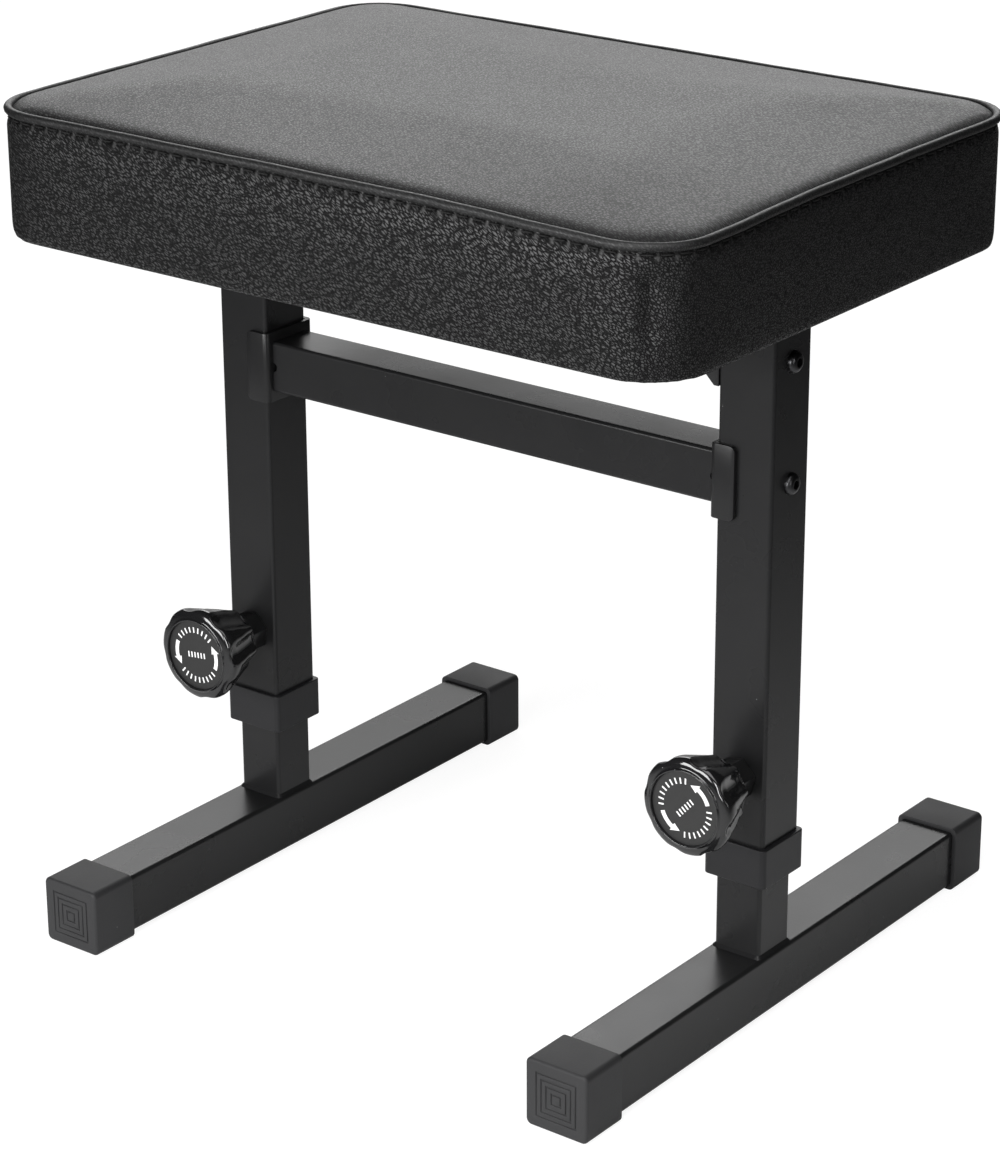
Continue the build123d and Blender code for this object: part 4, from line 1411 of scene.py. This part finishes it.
def make_arrow():
    """One arrow lying on the plane of height zero, starting on the +X axis."""
    half = ARROW_WIDTH / 2
    arrow = draw_line([(ARROW_RADIUS - half, 0.0, 0.0), (ARROW_RADIUS + half, 0.0, 0.0)])
    bpy.ops.mesh.spin(
        steps=ARROW_STEPS, angle=-ARROW_SWEEP, center=(0.0, 0.0, 0.0), axis=(0.0, 0.0, 1.0)
    )
    form = bmesh.from_edit_mesh(arrow.data)
    grow = ARROW_HEAD_WIDTH / 2

    def at(radius, angle):
        return form.verts.new((radius * math.cos(angle), radius * math.sin(angle), 0.0))

    wide_inner = at(ARROW_RADIUS - grow, ARROW_SWEEP)
    wide_outer = at(ARROW_RADIUS + grow, ARROW_SWEEP)
    tip = at(ARROW_RADIUS - ARROW_TIP_INWARDS, ARROW_SWEEP + ARROW_HEAD_SWEEP)
    form.faces.new((wide_inner, wide_outer, tip))
    bmesh.update_edit_mesh(arrow.data)
    bpy.ops.object.mode_set(mode="OBJECT")
    return arrow


def make_arrow_pair():
    first = make_arrow()
    second = duplicate(first)
    second.matrix_world = Matrix.Rotation(math.pi, 4, "Z")
    pair = join_all([first, second])
    edit(pair)
    bpy.ops.mesh.select_all(action="SELECT")
    bpy.ops.mesh.extrude_region_move(TRANSFORM_OT_translate={"value": (0.0, 0.0, PRINT_THICKNESS)})
    turn_outwards()
    return pair


# %% Print the ticks between the arrows
TICK_RADIUS = 13.4 * MM
TICK_LENGTH = 2.9 * MM
TICK_WIDTH = 0.75 * MM
TICK_COUNT = 9
TICK_STEP = math.radians(12.0)
TICK_START = math.radians(70.0)
ROW_TURN = math.radians(28.0)
ROW_COUNT = 6
ROW_STEP = 2.1 * MM


def print_bar(place, turn):
    bpy.ops.mesh.primitive_cube_add(size=1.0, location=place, rotation=(0.0, 0.0, turn))
    bar = bpy.context.object
    bar.scale = (TICK_LENGTH, TICK_WIDTH, PRINT_THICKNESS)
    return settle(bar)


def make_ticks():
    """Two arcs of ticks between the arrows and a straight row across the middle."""
    half = PRINT_THICKNESS / 2
    bars = []
    for half_turn in (0.0, math.pi):
        for step in range(TICK_COUNT):
            angle = TICK_START + half_turn + step * TICK_STEP
            place = Vector((math.cos(angle), math.sin(angle), 0.0)) * TICK_RADIUS
            bars.append(print_bar(place + Vector((0.0, 0.0, half)), angle))
    for step in range(ROW_COUNT):
        along = (step - (ROW_COUNT - 1) / 2) * ROW_STEP
        place = (along * math.cos(ROW_TURN), along * math.sin(ROW_TURN), half)
        bars.append(print_bar(place, ROW_TURN + math.pi / 2))
    return join_all(bars)


arrows = make_arrow_pair()
ticks = make_ticks()
for side in SIDES:
    printed = fit_to_lock(arrows, side, ARROW_TURNS[side], DISC_FACE)
    finish_piece(printed, f"knob_arrows_{side}", f"lock_knob_{side}", white_print)
    marks = fit_to_lock(ticks, side, ARROW_TURNS[side], DISC_FACE)
    finish_piece(marks, f"knob_ticks_{side}", f"lock_knob_{side}", white_print)
bpy.data.objects.remove(arrows)
bpy.data.objects.remove(ticks)

# %% [markdown]
# ## The springs of the locks
# Each spring is wire wound round the pin, behind the knob. One end presses on the pin's flange and moves
# with the knob, and the other rests on the ring in the barrel. The coil is tied to neither body.

# %% Wind the springs
SPRING_REACH = 3.75 * MM
WIRE_RADIUS = 0.4 * MM
SPRING_LENGTH = 9.9 * MM
SPRING_TURNS = 5
FLANGE_FACE = -45.0 * MM
RING_FACE = -55.0 * MM


def wind_spring():
    """A coil about Z, from 0 upwards, with its two ends closed."""
    bpy.ops.mesh.primitive_circle_add(
        vertices=10, radius=WIRE_RADIUS, location=(SPRING_REACH, 0.0, WIRE_RADIUS),
        rotation=(math.radians(90.0), 0.0, 0.0),
    )
    coil = settle(bpy.context.object)
    rise = (SPRING_LENGTH - 2 * WIRE_RADIUS) / SPRING_TURNS
    add_modifier(
        coil, "SCREW", axis="Z", screw_offset=rise, iterations=SPRING_TURNS, steps=32, render_steps=32
    )
    apply_all(coil)
    edit(coil, "EDGE")
    bpy.ops.mesh.select_non_manifold()
    bpy.ops.mesh.fill()
    bpy.ops.object.mode_set(mode="OBJECT")
    merge_doubles(coil, 0.001 * MM)
    smooth(coil, 60.0)
    return coil


spring_form = wind_spring()
for side, sign in SIDES.items():
    spring = duplicate(spring_form)
    middle = Vector((sign * POST_REACH, (FLANGE_FACE + RING_FACE) / 2, KNOB_AXIS_HEIGHT))
    start = Vector((0.0, SPRING_LENGTH / 2, 0.0))
    spring.matrix_world = Matrix.Translation(middle + start) @ Matrix.Rotation(math.radians(90.0), 4, "X")
    finish_piece(spring, f"wound_spring_{side}", None, spring_wire, (f"lock_spring_{side}",))
    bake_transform(spring)
bpy.data.objects.remove(spring_form)

# %% [markdown]
# ## Softened steel and rubber
# The solids have true shapes but knife edges, and an edge without a radius never catches light. A copy
# of each such node is cleaned up, its sharp edges are bevelled by a few tenths of a millimetre, and
# the copy takes the node's place.

# %% Bevel the sharp edges of copied nodes
SHARP_ANGLE = math.radians(32.0)
FLAT_ANGLE = math.radians(0.6)
CLEAN_REACH = 0.02 * MM


def soften(node, name, body, material, width):
    """Puts a copy with rounded edges in the place of a node."""
    copy = duplicate(nodes[node])
    for key in list(copy.keys()):
        del copy[key]
    copy.parent = None
    copy.matrix_world = Matrix.Identity(4)
    merge_doubles(copy, CLEAN_REACH)
    edit(copy)
    bpy.ops.mesh.select_all(action="SELECT")
    bpy.ops.mesh.dissolve_limited(angle_limit=FLAT_ANGLE)
    bpy.ops.object.mode_set(mode="OBJECT")
    add_modifier(
        copy, "BEVEL", width=width, segments=2, limit_method="ANGLE", angle_limit=SHARP_ANGLE,
        use_clamp_overlap=True,
    )
    apply_all(copy)
    smooth(copy, 30.0)
    finish_piece(copy, name, body, material, (node,))


for side in SIDES:
    soften(f"saddle_{side}", f"saddle_plate_{side}", "upper_frame", paint, 0.45 * MM)
    soften(f"seat_bracket_{side}", f"seat_angle_{side}", "upper_frame", paint, 0.4 * MM)
    soften(f"lock_boss_{side}", f"hex_boss_{side}", "upper_frame", paint, 0.35 * MM)
    for end in ("front", "rear"):
        soften(
            f"{end}_cap_{side}", f"{end}_foot_{side}", f"base_{side}", rubber, 0.22 * MM
        )

# %% [markdown]
# ## Finishes for the solids that stay
# The posts, floor tubes, bolts and the hidden works of the lock are right as they are. Each only gets
# its finish, in the material slot of its own object.

# %% Paint the rest
FINISHES = {
    "frame_paint": paint, "bolt_steel": black_zinc, "plated_steel": bright_zinc,
    "spring_steel": spring_wire, "cap_rubber": rubber, "guide_plastic": satin_plastic,
    "knob_plastic": gloss_plastic, "disc_plastic": disc_plastic, "leatherette": leatherette,
    "foam": foam_cells, "plywood": plywood, "dust_cloth": dust_cloth,
}
for part in frame["record"]["subparts"]:
    solid = nodes[part["node"]]
    solid.data.materials.clear()
    solid.data.materials.append(FINISHES[part["material_slot"]])
